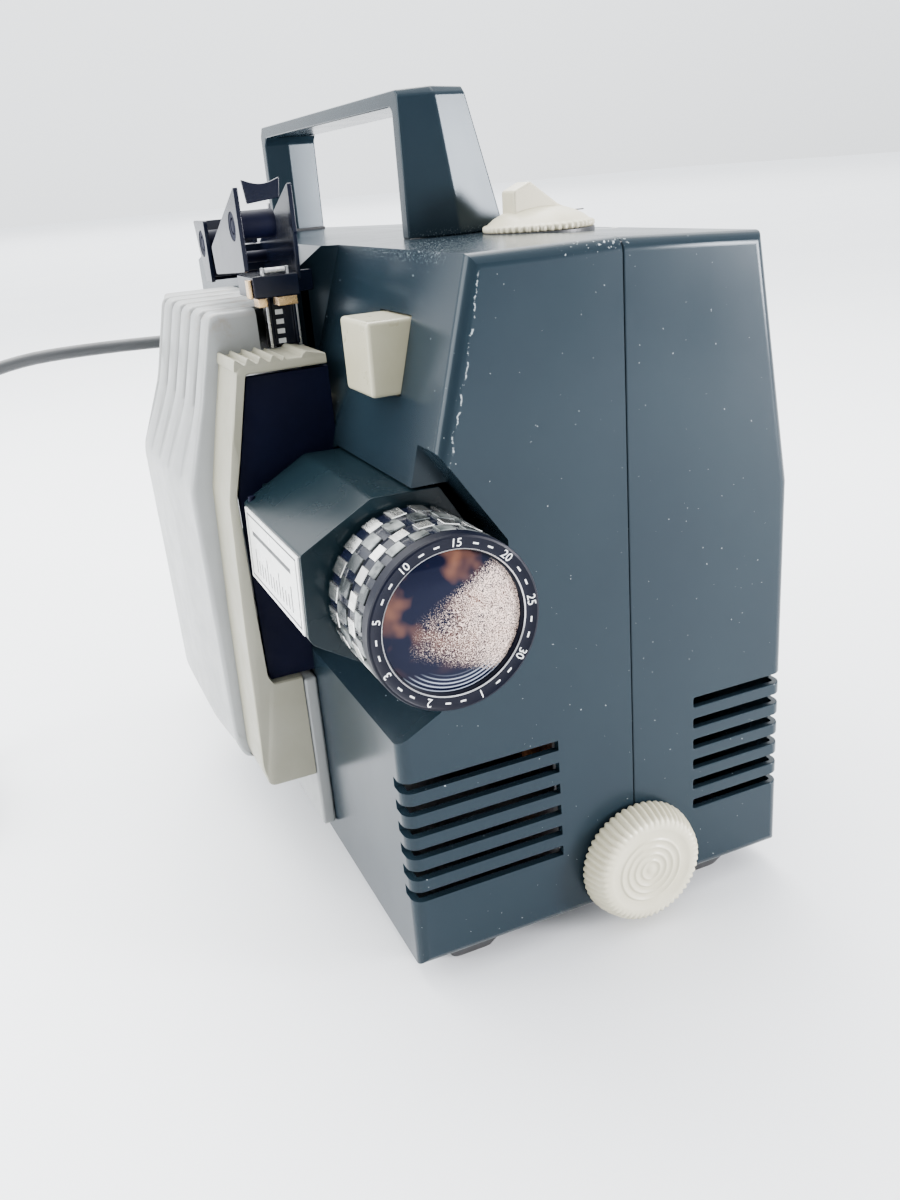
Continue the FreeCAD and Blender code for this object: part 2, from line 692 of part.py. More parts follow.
def tilt_knob():
    r, face, deep = d.knob_radius, d.knob_face, d.knob_deep
    profile = [
        (0, 0), (r, 0), (r, 1.6), (face + 0.6, deep - 1.2), (face - 0.6, deep),
        (11, deep), (10, deep - 0.9), (0, deep - 0.9),
    ]
    nodes.append(turned("tilt_knob", profile, 0, -0.6, d.knob_z, FACING_FRONT))
    shaft = rod("tilt_shaft", 3.2, 33, ALONG_Y, 0, -0.6, d.knob_z)
    nodes.append(shaft)
    pinion = [(3.2, 0), (5.9, 0), (5.9, 9), (3.2, 9)]
    nodes.append(turned("tilt_pinion", pinion, 0, 16, d.knob_z, ALONG_Y))
    foot = prism("tilt_foot", "XY", rectangle(-18.5, 14.5, 18.5, 26.5), 3.9, 8.9)
    pad(foot, "XY", rectangle(7, 16, 12, 25), 8.8, 56)
    nodes.append(foot)


def selector_dial():
    r, tall = d.dial_radius, d.dial_high
    dome = [(0, 0.3), (r, 0.3), (r, 2.6), (r - 2.5, 4.6), (r - 8, 6.8), (0, tall)]
    dial = turned("selector_dial", dome, d.dial_x, d.dial_y, d.case_top)
    grip = [
        (-11.2, 3), (-11.2, 11.8), (-2.2, d.grip_high), (6, tall), (13, 4), (13, 3),
    ]
    pad(dial, "XZ", grip, -4.6, 4.6)
    nodes.append(dial)
    shaft = rod("selector_shaft", 3.1, 26, Rotation(), d.dial_x, d.dial_y, d.case_top - 25.7)
    nodes.append(shaft)
    switch = [(3.2, 0), (12, 0), (12, 12), (3.2, 12)]
    under = d.case_top - d.wall - 14
    nodes.append(turned("rotary_switch", switch, d.dial_x, d.dial_y, under))


# ---------------------------------------------------------------- reel arms

def reel_arm(name, y, z, side, room, pin, hub):
    """A folded arm: a channel, open to the front and below, with a telescopic spindle."""
    body = prism(f"{name}_reel_arm", "YZ", side, -d.arm_out, -d.arm_in)
    pocket(body, "YZ", room, d.arm_wall - d.arm_out, -d.arm_in - d.arm_wall)
    saddle = [
        (-77.6, z - 2), (-77.6, z + 1.8), (-75.4, z + 0.7), (-71.4, z + 0.3),
        (-67.4, z + 0.7), (-65.2, z + 1.8), (-65.2, z - 2),
    ]
    if name == "front":
        pad(body, "XZ", saddle, y, y + 2)
        pocket(body, "XY", (-70.8, y + 20.5, sized(2)), z - 14, z + 2)
    pocket(body, "YZ", (*pin, d.pin_radius + 0.06), -d.arm_out - 1, 1 - d.arm_in)
    pocket(body, "YZ", (*hub, sized(4.56)), -d.arm_out - 1, -70)
    nodes.append(body)
    bush = [(2.66, 0), (4.5, 0), (4.5, 13.5), (2.66, 13.5)]
    nodes.append(turned(f"{name}_spindle_bush", bush, 0.2 - d.arm_out, *hub, ALONG_X))
    stem = [(0, 0), (2.6, 0), (2.6, 13.7), (4.2, 13.7), (4.2, 15), (0, 15)]
    nodes.append(turned(f"{name}_spindle", stem, 0.2 - d.arm_out, *hub, ALONG_X))
    return rod(f"{name}_arm_pin", d.pin_radius, d.pin_long, ALONG_X, 0.3 - d.arm_out, *pin)


def reel_arms():
    w = d.arm_wall
    y, z, long = d.arm_front, d.arm_high, d.arm_long
    side = [(y, z - 26), (y, z), (y + long, z - 19), (y + long - 2, z - 28.5)]
    room = [
        (y - 1, z - 32), (y - 1, z - w + 0.4), (y + long - 3, z - 19 - w), (y + long - 5, z - 32),
    ]
    front = reel_arm("front", y, z, side, room, (y + long - 8, z - 23.5), (y + 9, z - 12))
    y, z, long = d.rear_arm_y, d.rear_arm_high, d.rear_arm_long
    side = [(y, z - 21.5), (y, z), (y + long, z), (y + long - 8.5, z - 21.5)]
    room = [(y - 1, z - 25), (y - 1, z - w), (y + long - 2.2, z - w), (y + long - 11.6, z - 25)]
    rear = reel_arm("rear", y, z, side, room, (y + 5.5, z - 18), (y + 7.4, z - 8))
    nodes.append(group("arm_pins", [front, rear]))


def guide_block():
    """The film guide under the front arm, held by the shoulder of the casing."""
    plan = [
        (-78, 99), (-62.5, 99), (-62.5, 107), (-54.5, 109.75), (-62, 116.5), (-62, 120.9),
        (-78, 120.9),
    ]
    body = prism("guide_block", "XY", plan, d.chute_high, 214.2)
    nodes.append(body)
    strips = []
    for name, x, y, z, size in (
        ("low_left", -77, 99.5, 204.2, (3.2, 6, 3)),
        ("low_right", -70.5, 99.5, 204.2, (7, 6, 3)),
        ("side", -79.4, 100.5, 207.2, (1.4, 4, 6)),
    ):
        strip = doc.addObject("Part::Box", f"brass_{name}")
        for prop, number in zip(("Length", "Width", "Height"), size):
            bind(strip, prop, number)
        place(strip, x, y, z)
        strips.append(strip)
    nodes.append(group("brass_guides", strips))


# ---------------------------------------------------------------- inside the casing

def chassis():
    low, high = 12.2, 14.2
    body = prism("chassis_plate", "XY", rectangle(-70, 10, 54, 268), low, high)
    pocket(body, "XY", rectangle(6, 15, 13, 26), low - 1, high + 1)
    nodes.append(body)
    posts = []
    for name, y in (("front", 107), ("rear", 185)):
        post = prism(f"shaft_post_{name}", "XZ", rectangle(-43, high, -33, 137), y, y + 4)
        pocket(post, "XZ", (d.shutter_x, d.axis_z, sized(2.56)), y - 1, y + 5)
        posts.append(post)
    nodes.append(group("shaft_posts", posts))
    shield = prism("heat_shield", "YZ", rectangle(126, high, 174, 165), d.shield_x, d.shield_x + 1.2)
    nodes.append(shield)


def shutter():
    x, z = d.shutter_x, d.axis_z
    shaft = rod("shutter_shaft", 2.5, 110, ALONG_Y, x, 94, z)
    nodes.append(shaft)
    disc = prism("shutter_disc", "XZ", (x, z, sized(32)), 122, 123.2)
    pocket(disc, "XZ", (x, z, sized(2.5)), 121, 124)
    for angle in (30, 150, 270):
        blade = []
        for reach, turn in ((20, -25), (40, -25), (40, 25), (20, 25)):
            way = math.radians(angle + turn)
            blade.append((x + reach * math.cos(way), z + reach * math.sin(way)))
        pocket(disc, "XZ", blade, 121, 124)
    nodes.append(disc)
    wheel = [(2.5, 0), (18, 0), (18, 1.5), (16.6, 3), (16.6, 5), (18, 6.5), (18, 8), (2.5, 8)]
    nodes.append(turned("shutter_pulley", wheel, x, 192, z, ALONG_Y))


def motor():
    x, z, r = d.motor_x, d.motor_z, d.motor_radius
    body = prism("motor", "XZ", (x, z, r), 206, 250)
    pad(body, "XZ", rectangle(x - 20, 14.2, x + 20, z - 10), 212, 244)
    pocket(body, "XZ", (x, z, sized(3.06)), 200, 260)
    nodes.append(body)
    nodes.append(rod("motor_shaft", 3, 80, ALONG_Y, x, 190, z))
    wheel = [(3, 0), (7.6, 0), (7.6, 1.5), (6.2, 3), (6.2, 5), (7.6, 6.5), (7.6, 8), (3, 8)]
    nodes.append(turned("motor_pulley", wheel, x, 192, z, ALONG_Y))
    fan = turned("cooling_fan", [(3, 0), (9, 0), (9, 14), (3, 14)], x, 254, z, ALONG_Y)
    blade = pad(fan, "XZ", rectangle(8.5, 1, 31, 13), -0.8, 0.8)
    around(fan, blade, 9)
    nodes.append(fan)


def drive_belt():
    """A round-cornered loop over both pulleys, made from the pulley places in the sheet."""
    x1, z1 = d.shutter_x.value, d.axis_z.value
    x2, z2 = d.motor_x.value, d.motor_z.value
    span = math.hypot(x2 - x1, z2 - z1)
    along = math.atan2(z2 - z1, x2 - x1)
    loops = []
    for grow in (0.6, 2.4):
        big, small = 16.6 + grow, 6.2 + grow
        lean = math.acos((big - small) / span)
        ends = []
        for cx, cz, radius in ((x1, z1, big), (x2, z2, small)):
            for turn in (lean, -lean):
                way = along + turn
                ends.append(Vector(cx + radius * math.cos(way), 0, cz + radius * math.sin(way)))
        back = Vector(x1 - big * math.cos(along), 0, z1 - big * math.sin(along))
        nose = Vector(x2 + small * math.cos(along), 0, z2 + small * math.sin(along))
        loops.append(Part.Wire([
            Part.Arc(ends[1], back, ends[0]).toShape(), Part.LineSegment(ends[0], ends[2]).toShape(),
            Part.Arc(ends[2], nose, ends[3]).toShape(), Part.LineSegment(ends[3], ends[1]).toShape(),
        ]))
    ring = Part.Face(loops[1]).cut(Part.Face(loops[0])).extrude(Vector(0, 3, 0))
    belt = doc.addObject("Part::Feature", "drive_belt")
    belt.Shape = ring
    place(belt, 0, 194.5, 0)
    nodes.append(belt)


def lamp():
    x, y, z = d.axis_x, d.lamp_y, d.axis_z
    bowl = [
        (6, 30), (8, 24), (14, 13), (20, 2), (20, 0), (21, 0), (21, 3), (15.4, 14.5),
        (9.2, 26), (9.2, 30),
    ]
    nodes.append(turned("lamp_reflector", bowl, x, y - 22, z, ALONG_Y))
    bulb = [(0, -8), (3, -7), (4.6, -4), (4.6, 8), (3, 11), (3, 20), (0, 20)]
    nodes.append(turned("halogen_bulb", bulb, x, y - 8, z, ALONG_Y))
    socket = prism("lamp_socket", "XZ", rectangle(x - 9, z - 8, x + 9, z + 8), y + 8, y + 20)
    pocket(socket, "XZ", (x, z, sized(3.06)), y + 8, y + 14)
    nodes.append(socket)
    arm = prism("lamp_bracket", "XZ", rectangle(x - 9, z - 14, d.shield_x, z + 14), y + 20, y + 22)
    pocket(arm, "XZ", (d.shutter_x, z, sized(3.2)), y + 19, y + 23)
    nodes.append(arm)
    window = [(0, 0), (20.5, 0), (20.5, 2.5), (0, 2.5)]
    nodes.append(turned("heat_glass", window, x, y - 24.5, z, ALONG_Y))


def transformer():
    core = prism("transformer_core", "YZ", rectangle(60, 14.2, 116, 62), 2, 40)
    for low, high in ((69, 80), (96, 107)):
        pocket(core, "YZ", rectangle(low, 23, high, 53.2), 1, 41)
    nodes.append(core)
    coil = prism("transformer_coil", "YZ", rectangle(70, 24, 106, 52.2), -6, 48)
    pocket(coil, "YZ", rectangle(79.9, 20, 96.1, 56), 2, 40)
    nodes.append(coil)


# ---------------------------------------------------------------- cord

def round_path(points, share=0.45):
    """Straight runs joined by tangent arcs, each as large as its two runs allow."""
    edges, radii = [], []
    start = points[0]
    for before, corner, after in zip(points, points[1:], points[2:]):
        one, two = before - corner, after - corner
        turn = math.pi - one.getAngle(two)
        reach = share * min(one.Length, two.Length)
        radii.append(reach / math.tan(turn / 2))
        enter = corner + one * (reach / one.Length)
        leave = corner + two * (reach / two.Length)
        middle = corner + (enter + leave - corner * 2) * 0.5
        inward = (middle - corner).normalize()
        depth = radii[-1] / math.cos(turn / 2) - radii[-1]
        edges.append(Part.LineSegment(start, enter).toShape())
        edges.append(Part.Arc(enter, corner + inward * depth, leave).toShape())
        start = leave
    edges.append(Part.LineSegment(start, points[-1]).toShape())
    return Part.Wire(edges), radii


# Out of the strain relief, over the view's edge, down in a loose bow and onto the table.
CORD_ROUTE = [
    (-88, 247, 180.5), (-118, 247, 181.5), (-156, 247.5, 180), (-187, 250, 168),
    (-204, 254, 140), (-208.5, 259, 104), (-209, 262, 68), (-209, 261, 38),
    (-209, 254, 17.5), (-209, 237, 5.2), (-208.6, 219, 2.85),
]


def cord():
    relief = [
        (0, 0), (7.4, 0), (7.4, 1.8), (5.2, 2), (5.2, 6.6), (3.5, d.relief_long),
        (0, d.relief_long),
    ]
    inner = 4.6 - d.high_left
    nodes.append(turned("strain_relief", relief, inner, d.cord_y, d.cord_z, FACING_LEFT))
    r = d.cord_radius.value
    path, radii = round_path([Vector(*point) for point in CORD_ROUTE])
    print("cord radii, mm:", [round(radius, 1) for radius in radii])
    first = Vector(*CORD_ROUTE[1]) - Vector(*CORD_ROUTE[0])
    ring = Part.Wire(Part.makeCircle(r, Vector(*CORD_ROUTE[0]), first))
    tube = doc.addObject("Part::Feature", "mains_cord")
    tube.Shape = path.makePipeShell([ring], True, False)
    expected = math.pi * r * r * path.Length
    print(f"cord length {path.Length:.1f} mm, volume {tube.Shape.Volume:.0f} of {expected:.0f}")
    place(tube)
    nodes.append(tube)
    across = d.turns_across * d.cord_radius
    coil = [
        (d.coil_radius - across, 0), (d.coil_radius + across, 0),
        (d.coil_radius + across, d.layers * d.cord_radius * 2),
        (d.coil_radius - across, d.layers * d.cord_radius * 2),
    ]
    nodes.append(turned("cord_coil", coil, d.coil_x, d.coil_y, 0))
    top = d.layers * d.cord_radius * 2
    plug = new_body("mains_plug")
    pad(plug, "XY", [
        (-16, -7), (-16, 7), (-9, 13.5), (16, 13.5), (16, -13.5), (-9, -13.5),
    ], 0, 13.5)
    soften(plug, 3, lambda e: not lies_at(e, "z", 0) and abs(e.CenterOfMass.z - 6.7) > 1)
    place(plug, d.coil_x, d.coil_y - 27, top)
    for side in (-1, 1):
        pad(plug, "YZ", (side * 9.3, 6.7, sized(2)), 15, 35)
    nodes.append(plug)


left_shell()
right_shell()
rubber_feet()
rear_grille()
carrying_handle()
film_plate()
film_cover()
film_chute()
gate_panel()
film_gate()
sprockets()
lens_carrier()
lens()
function_key()
tilt_knob()
selector_dial()
reel_arms()
guide_block()
chassis()
shutter()
motor()
drive_belt()
lamp()
transformer()
cord()
doc.recompute()

os.makedirs("parts", exist_ok=True)
failed = [o.Label for o in doc.Objects if {"Invalid", "Error"} & set(o.State)]
if failed:
    raise RuntimeError(f"these objects failed: {failed}")
for node in nodes:
    if node.Shape.isNull() or not node.Shape.isValid():
        raise RuntimeError(f"{node.Label}: no valid shape")
    node.Shape.exportStep(f"parts/{node.Label}.step")
    box = node.Shape.BoundBox
    print(f"{node.Label:20s} {node.Shape.Volume:10.0f} mm3  solids {len(node.Shape.Solids)}"
          f"  x {box.XMin:.1f} {box.XMax:.1f}  y {box.YMin:.1f} {box.YMax:.1f}"
          f"  z {box.ZMin:.1f} {box.ZMax:.1f}")
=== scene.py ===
from functools import reduce
from math import cos, hypot, pi, radians, sin, sqrt, tau

import bmesh
import bpy
from mathutils import Matrix, Vector


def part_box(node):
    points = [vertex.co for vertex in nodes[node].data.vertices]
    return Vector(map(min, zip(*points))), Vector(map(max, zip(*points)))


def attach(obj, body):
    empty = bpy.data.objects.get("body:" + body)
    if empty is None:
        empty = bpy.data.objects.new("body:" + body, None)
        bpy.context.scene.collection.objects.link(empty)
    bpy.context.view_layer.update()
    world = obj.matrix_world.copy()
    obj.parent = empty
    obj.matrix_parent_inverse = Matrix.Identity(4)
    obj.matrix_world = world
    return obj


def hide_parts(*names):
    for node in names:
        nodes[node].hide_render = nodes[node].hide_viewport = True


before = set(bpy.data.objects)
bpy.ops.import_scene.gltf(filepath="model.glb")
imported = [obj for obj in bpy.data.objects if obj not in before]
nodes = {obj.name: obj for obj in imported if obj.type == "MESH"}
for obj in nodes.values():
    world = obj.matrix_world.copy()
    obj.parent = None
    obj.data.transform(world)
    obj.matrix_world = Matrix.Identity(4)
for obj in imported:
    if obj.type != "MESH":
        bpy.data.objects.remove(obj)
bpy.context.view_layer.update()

# A compact film projector. Lengths below are in millimetres of the design frame, whose
# zero is the seam of the two shells, the casing's front face and the table.
MM = 0.001
SEAM_X = (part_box("left_shell")[1].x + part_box("right_shell")[0].x) / 2
FRONT_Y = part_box("left_shell")[0].y


def at(x, y, z):
    """A point of the design frame, in metres of the row frame."""
    return Vector((SEAM_X + x * MM, FRONT_Y + y * MM, z * MM))


def span(node):
    """A CAD node's lowest and highest corners, in millimetres of the design frame."""
    shift = Vector((SEAM_X, FRONT_Y, 0))
    low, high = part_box(node)
    return (low - shift) / MM, (high - shift) / MM


def middle(node):
    low, high = span(node)
    return (low + high) / 2


CASE_TOP = span("right_shell")[1].z
CASE_DEEP = span("right_shell")[1].y
AXIS = middle("lens_tube")
AXIS.y = 0
RING_R = (span("zoom_ring")[1].x - span("zoom_ring")[0].x) / 2
COVER_LOW, COVER_HIGH = span("film_cover")
HANDLE_LOW, HANDLE_HIGH = span("carrying_handle")
FLUTE_PITCH = 18


# ---- materials

class Nodes:
    """A material under construction: a Principled shader and short calls for its nodes."""

    def __init__(self, name, colour, rough, metal=0.0, coat=0.0):
        self.material = bpy.data.materials.new(name)
        self.material.use_nodes = True
        self.material.diffuse_color = (*colour, 1)
        self.tree = self.material.node_tree
        self.shader = self.tree.nodes["Principled BSDF"]
        for socket, value in (("Base Color", (*colour, 1)), ("Roughness", rough),
                              ("Metallic", metal), ("Coat Weight", coat), ("Coat Roughness", 0.1)):
            self.set(socket, value)
        self.where = self.add("ShaderNodeTexCoord").outputs["Object"]
        self.split = None
        self.bump = None

    def add(self, kind, **inputs):
        node = self.tree.nodes.new(kind)
        for key, value in inputs.items():
            self.feed(node.inputs[key.replace("_", " ")], value)
        return node

    def feed(self, socket, value):
        if isinstance(value, bpy.types.NodeSocket):
            self.tree.links.new(value, socket)
        else:
            socket.default_value = value

    def set(self, socket, value):
        self.feed(self.shader.inputs[socket], value)

    def noise(self, scale, detail=3.0, rough=0.55, stretch=None):
        place = self.where
        if stretch:
            place = self.add("ShaderNodeMapping", Vector=place, Scale=stretch).outputs["Vector"]
        return self.add("ShaderNodeTexNoise", Vector=place, Scale=scale, Detail=detail,
                        Roughness=rough).outputs["Fac"]

    def spread(self, value, low, high, to_low=0.0, to_high=1.0):
        """Maps low..high onto to_low..to_high, and stops there."""
        return self.add("ShaderNodeMapRange", Value=value, From_Min=low, From_Max=high,
                        To_Min=to_low, To_Max=to_high).outputs["Result"]

    def band(self, value, start, full, fade, end):
        """Rises from start to full, and falls again from fade to end."""
        return self.times(self.spread(value, start, full), self.spread(value, fade, end, 1, 0))

    def math(self, operation, one, two=0.0):
        node = self.tree.nodes.new("ShaderNodeMath")
        node.operation = operation
        self.feed(node.inputs[0], one)
        self.feed(node.inputs[1], two)
        return node.outputs[0]

    def times(self, *factors):
        return reduce(lambda one, two: self.math("MULTIPLY", one, two), factors)

    def plus(self, *terms):
        return reduce(lambda one, two: self.math("ADD", one, two), terms)

    def less(self, one, two):
        return self.math("SUBTRACT", one, two)

    def mix(self, share, one, two):
        node = self.tree.nodes.new("ShaderNodeMix")
        node.data_type = "RGBA"
        for key, value in ((0, share), (6, one), (7, two)):
            if isinstance(value, tuple) and len(value) == 3:
                value = (*value, 1)
            self.feed(node.inputs[key], value)
        return node.outputs[2]

    def axis(self, letter):
        self.split = self.split or self.add("ShaderNodeSeparateXYZ", Vector=self.where)
        return self.split.outputs[letter]

    def relief(self, height, strength, distance=0.0004):
        """Adds a bump on top of the ones already there."""
        node = self.add("ShaderNodeBump", Strength=strength, Distance=distance, Height=height)
        if self.bump:
            self.tree.links.new(self.bump, node.inputs["Normal"])
        self.bump = node.outputs["Normal"]
        self.set("Normal", self.bump)


def plastic(name, colour, rough, grain=0.12, grain_scale=1400, tint=None, coat=0.0, patch=45,
            shine=0.5):
    """Moulded plastic or paint: slow colour drift, uneven gloss and a fine grain."""
    m = Nodes(name, colour, rough, coat=coat)
    m.set("Specular IOR Level", shine)
    tint = tint or tuple(c * 0.8 for c in colour)
    drift = m.spread(m.noise(patch, 4), 0.35, 0.7)
    m.set("Base Color", m.mix(drift, colour, tint))
    m.set("Roughness", m.spread(m.noise(patch * 3, 5), 0.3, 0.75, rough * 0.85, rough * 1.25))
    m.relief(m.noise(grain_scale, 2), grain, 0.0002)
    return m.material


def casing_material():
    """Gloss anthracite plastic, scratched down its front left edge and specked on top."""
    dark, deep = (0.0075, 0.015, 0.021), (0.0065, 0.013, 0.019)
    m = Nodes("casing_anthracite", dark, 0.24)
    m.set("Specular IOR Level", 0.2)
    m.set("Specular Tint", (0.82, 0.93, 1.0, 1))
    base = m.mix(m.spread(m.noise(25, 4), 0.35, 0.7), dark, deep)
    back = m.less(m.axis("Y"), FRONT_Y)
    down = m.less(CASE_TOP * MM, m.axis("Z"))
    across = m.less(m.axis("X"), SEAM_X)
    front_edge = m.spread(back, 0.001, 0.0055, 1, 0)
    top_edge = m.times(front_edge, m.spread(down, 0.0005, 0.006, 1, 0))
    seam_side = m.band(across, -0.03, -0.004, 0.001, 0.006)
    edge_lean, edge_x = 0.261, 0.0412
    lean = m.plus(across, m.times(down, edge_lean))
    wobble = m.times(m.less(m.noise(160, 3), 0.5), 0.0045)
    line = m.spread(m.math("ABSOLUTE", m.plus(lean, wobble, edge_x)), 0.00005, 0.00035, 1, 0)
    along = m.band(down, 0.004, 0.007, 0.05, 0.056)
    broken = m.spread(m.noise(620, 4, 0.7), 0.5, 0.56, 0, 0.6)
    scratch = m.times(line, along, broken, front_edge)
    ragged = m.noise(950, 5, 0.72)
    worn = m.times(top_edge, seam_side)
    chips = m.spread(m.plus(ragged, m.times(worn, 0.13)), 0.7, 0.735)
    chips = m.times(chips, m.spread(worn, 0.02, 0.25))
    specks = m.times(m.spread(m.noise(1150, 1, 0.4), 0.81, 0.83), 0.5)
    specks = m.times(specks, m.spread(down, -0.002, 0.001))
    patch = m.times(m.band(back, 0.012, 0.02, 0.07, 0.1), m.spread(down, 0.0008, 0.004, 1, 0),
                    m.spread(down, -0.003, -0.001))
    dust = m.times(m.spread(m.noise(2400, 2), 0.6, 0.7, 0, 0.5), patch)
    marks = m.math("MAXIMUM", m.math("MAXIMUM", chips, specks), m.math("MAXIMUM", dust, scratch))
    m.set("Base Color", m.mix(marks, base, (0.5, 0.56, 0.58)))
    smear = m.spread(m.noise(30, 3, stretch=(1, 1, 0.5)), 0.3, 0.75, 0.2, 0.27)
    m.set("Roughness", m.math("MAXIMUM", smear, m.times(marks, 0.6)))
    m.relief(m.noise(1100, 2), 0.025, 0.0001)
    return m.material


def knurl_silver():
    m = Nodes("polished_facet", (0.9, 0.9, 0.86), 0.24, metal=1.0)
    streak = m.noise(500, 3, stretch=(1, 0.15, 1))
    m.set("Base Color", m.mix(m.spread(streak, 0.5, 0.75), (0.95, 0.94, 0.9), (0.7, 0.7, 0.67)))
    m.set("Roughness", m.spread(streak, 0.3, 0.7, 0.2, 0.3))
    return m.material


def knurl_dark():
    m = Nodes("worn_black_facet", (0.1, 0.105, 0.105), 0.3, metal=0.8, coat=0.2)
    rub = m.spread(m.noise(150, 3), 0.42, 0.66)
    m.set("Base Color", m.mix(rub, (0.06, 0.068, 0.07), (0.3, 0.32, 0.31)))
    m.set("Roughness", m.spread(rub, 0, 1, 0.24, 0.42))
    return m.material


def dusty_glass():
    """The front element: dark coated glass, with its amber reflection painted on the upper half and
    pale arcs of reflection painted near the lower rim, under a drift of pale dust.
    """
    m = Nodes("coated_front_glass", (0.004, 0.006, 0.018), 0.04)
    m.set("Specular IOR Level", 0.15)
    m.set("Specular Tint", (0.62, 0.66, 0.9, 1))
    right = m.less(m.axis("X"), at(AXIS.x, 0, 0).x)
    up = m.less(m.axis("Z"), AXIS.z * MM)
    tilt = m.plus(m.times(right, 1.0), m.times(up, 0.12))
    wander = m.times(m.less(m.noise(75, 3), 0.5), 0.02)
    drift = m.spread(m.plus(tilt, wander), -0.013, 0.011)
    top = m.spread(m.plus(up, m.times(right, -0.5)), 0.005, 0.010, 1, 0)
    low = m.spread(m.plus(up, m.times(right, 0.35)), -0.0135, -0.010)
    drift = m.times(drift, m.times(top, low))
    fine = m.noise(2900, 3, 0.75)
    dust = m.spread(m.plus(fine, m.times(drift, 0.12)), 0.57, 0.67)
    dust = m.times(dust, m.spread(drift, 0.02, 0.4))
    # painted reflection: amber patches of the coating's sheen, on the upper half of the glass only
    amber_sheen_mask = m.times(m.spread(m.noise(95, 2), 0.46, 0.74), m.spread(up, -0.014, 0))
    glass_and_amber_sheen = m.mix(amber_sheen_mask, (0.003, 0.004, 0.012), (0.15, 0.065, 0.038))
    # painted reflection: pale blue arcs of the inner rims, near the lower edge of the glass only
    away = m.math("SQRT", m.plus(m.math("POWER", right, 2), m.math("POWER", up, 2)))
    rings = m.math("SINE", m.times(away, 5200))
    rim_reflection_arcs = m.times(m.spread(rings, 0.3, 0.9), m.spread(away, 0.0145, 0.0165),
                   m.spread(up, -0.0155, -0.012, 1, 0))
    glass_with_painted_reflections = m.mix(m.times(rim_reflection_arcs, 0.6), glass_and_amber_sheen, (0.5, 0.56, 0.68))
    m.set("Base Color", m.mix(dust, glass_with_painted_reflections, (0.82, 0.63, 0.53)))
    m.set("Roughness", m.spread(dust, 0, 1, 0.04, 0.6))
    return m.material


def clear_glass():
    m = Nodes("inner_glass", (0.8, 0.72, 0.66), 0.03)
    m.set("Transmission Weight", 0.85)
    m.set("IOR", 1.5)
    m.set("Roughness", m.spread(m.noise(300, 3), 0.3, 0.7, 0.02, 0.1))
    return m.material


def metal(name, colour, rough, scale=500, stretch=None):
    m = Nodes(name, colour, rough, metal=1.0)
    streak = m.noise(scale, 4, stretch=stretch)
    darker = tuple(c * 0.7 for c in colour)
    m.set("Base Color", m.mix(m.spread(streak, 0.35, 0.7), colour, darker))
    m.set("Roughness", m.spread(streak, 0.3, 0.7, rough * 0.8, rough * 1.4))
    m.relief(streak, 0.08, 0.0001)
    return m.material


def cover_material():
    """Silver-grey lacquered plastic, with painted shade in the flutes, and grimy at the top."""
    m = Nodes("cover_silver_grey", (0.26, 0.268, 0.266), 0.34, coat=0.1)
    drift = m.spread(m.noise(30, 4), 0.35, 0.7)
    base = m.mix(drift, (0.26, 0.268, 0.266), (0.225, 0.232, 0.228))
    # painted shade: the colour darkens towards the bottom of each flute, standing in for shade in
    # the grooves
    along = m.less(m.axis("Y"), at(0, COVER_LOW.y + 39.3, 0).y)
    wave = m.math("COSINE", m.times(along, tau / (FLUTE_PITCH * MM)))
    flute_shade = m.times(m.spread(wave, 0.45, 0.75), m.spread(m.axis("Z"), 0.167, 0.172),
                    m.spread(along, -0.004, -0.002))
    base = m.mix(m.times(flute_shade, 0.6), base, (0.11, 0.11, 0.105))
    grime = m.times(m.spread(m.axis("Z"), 0.19, 0.2035),
                    m.spread(m.noise(160, 5, 0.7), 0.52, 0.72))
    m.set("Base Color", m.mix(m.times(grime, 0.75), base, (0.2, 0.15, 0.1)))
    m.set("Roughness", m.spread(m.noise(110, 5), 0.3, 0.75, 0.3, 0.46))
    m.relief(m.noise(1500, 2), 0.1, 0.0002)
    return m.material


def floor_material():
    m = Nodes("pale_paper", (0.86, 0.87, 0.88), 0.6)
    m.set("Base Color", m.mix(m.spread(m.noise(3, 2), 0.3, 0.7), (0.87, 0.88, 0.89),
                              (0.84, 0.85, 0.87)))
    m.relief(m.noise(500, 2, stretch=(1, 0.02, 1)), 0.08, 0.0003)
    return m.material


CASING = casing_material()
COVER = cover_material()
LIP = plastic("cream_lip", (0.265, 0.255, 0.195), 0.4, tint=(0.235, 0.225, 0.165))
CREAM = plastic("aged_cream", (0.58, 0.54, 0.4), 0.36, tint=(0.52, 0.48, 0.34), coat=0.1)
PALE_KEY = plastic("pale_key", (0.36, 0.34, 0.24), 0.3, tint=(0.32, 0.3, 0.2), coat=0.1)
BLACK = plastic("gloss_black", (0.003, 0.004, 0.011), 0.18, tint=(0.004, 0.006, 0.014), shine=0.22)
BEZEL_BLACK = plastic("bezel_black", (0.001, 0.0015, 0.006), 0.42, tint=(0.001, 0.002, 0.008),
                      grain=0.03, shine=0.12)
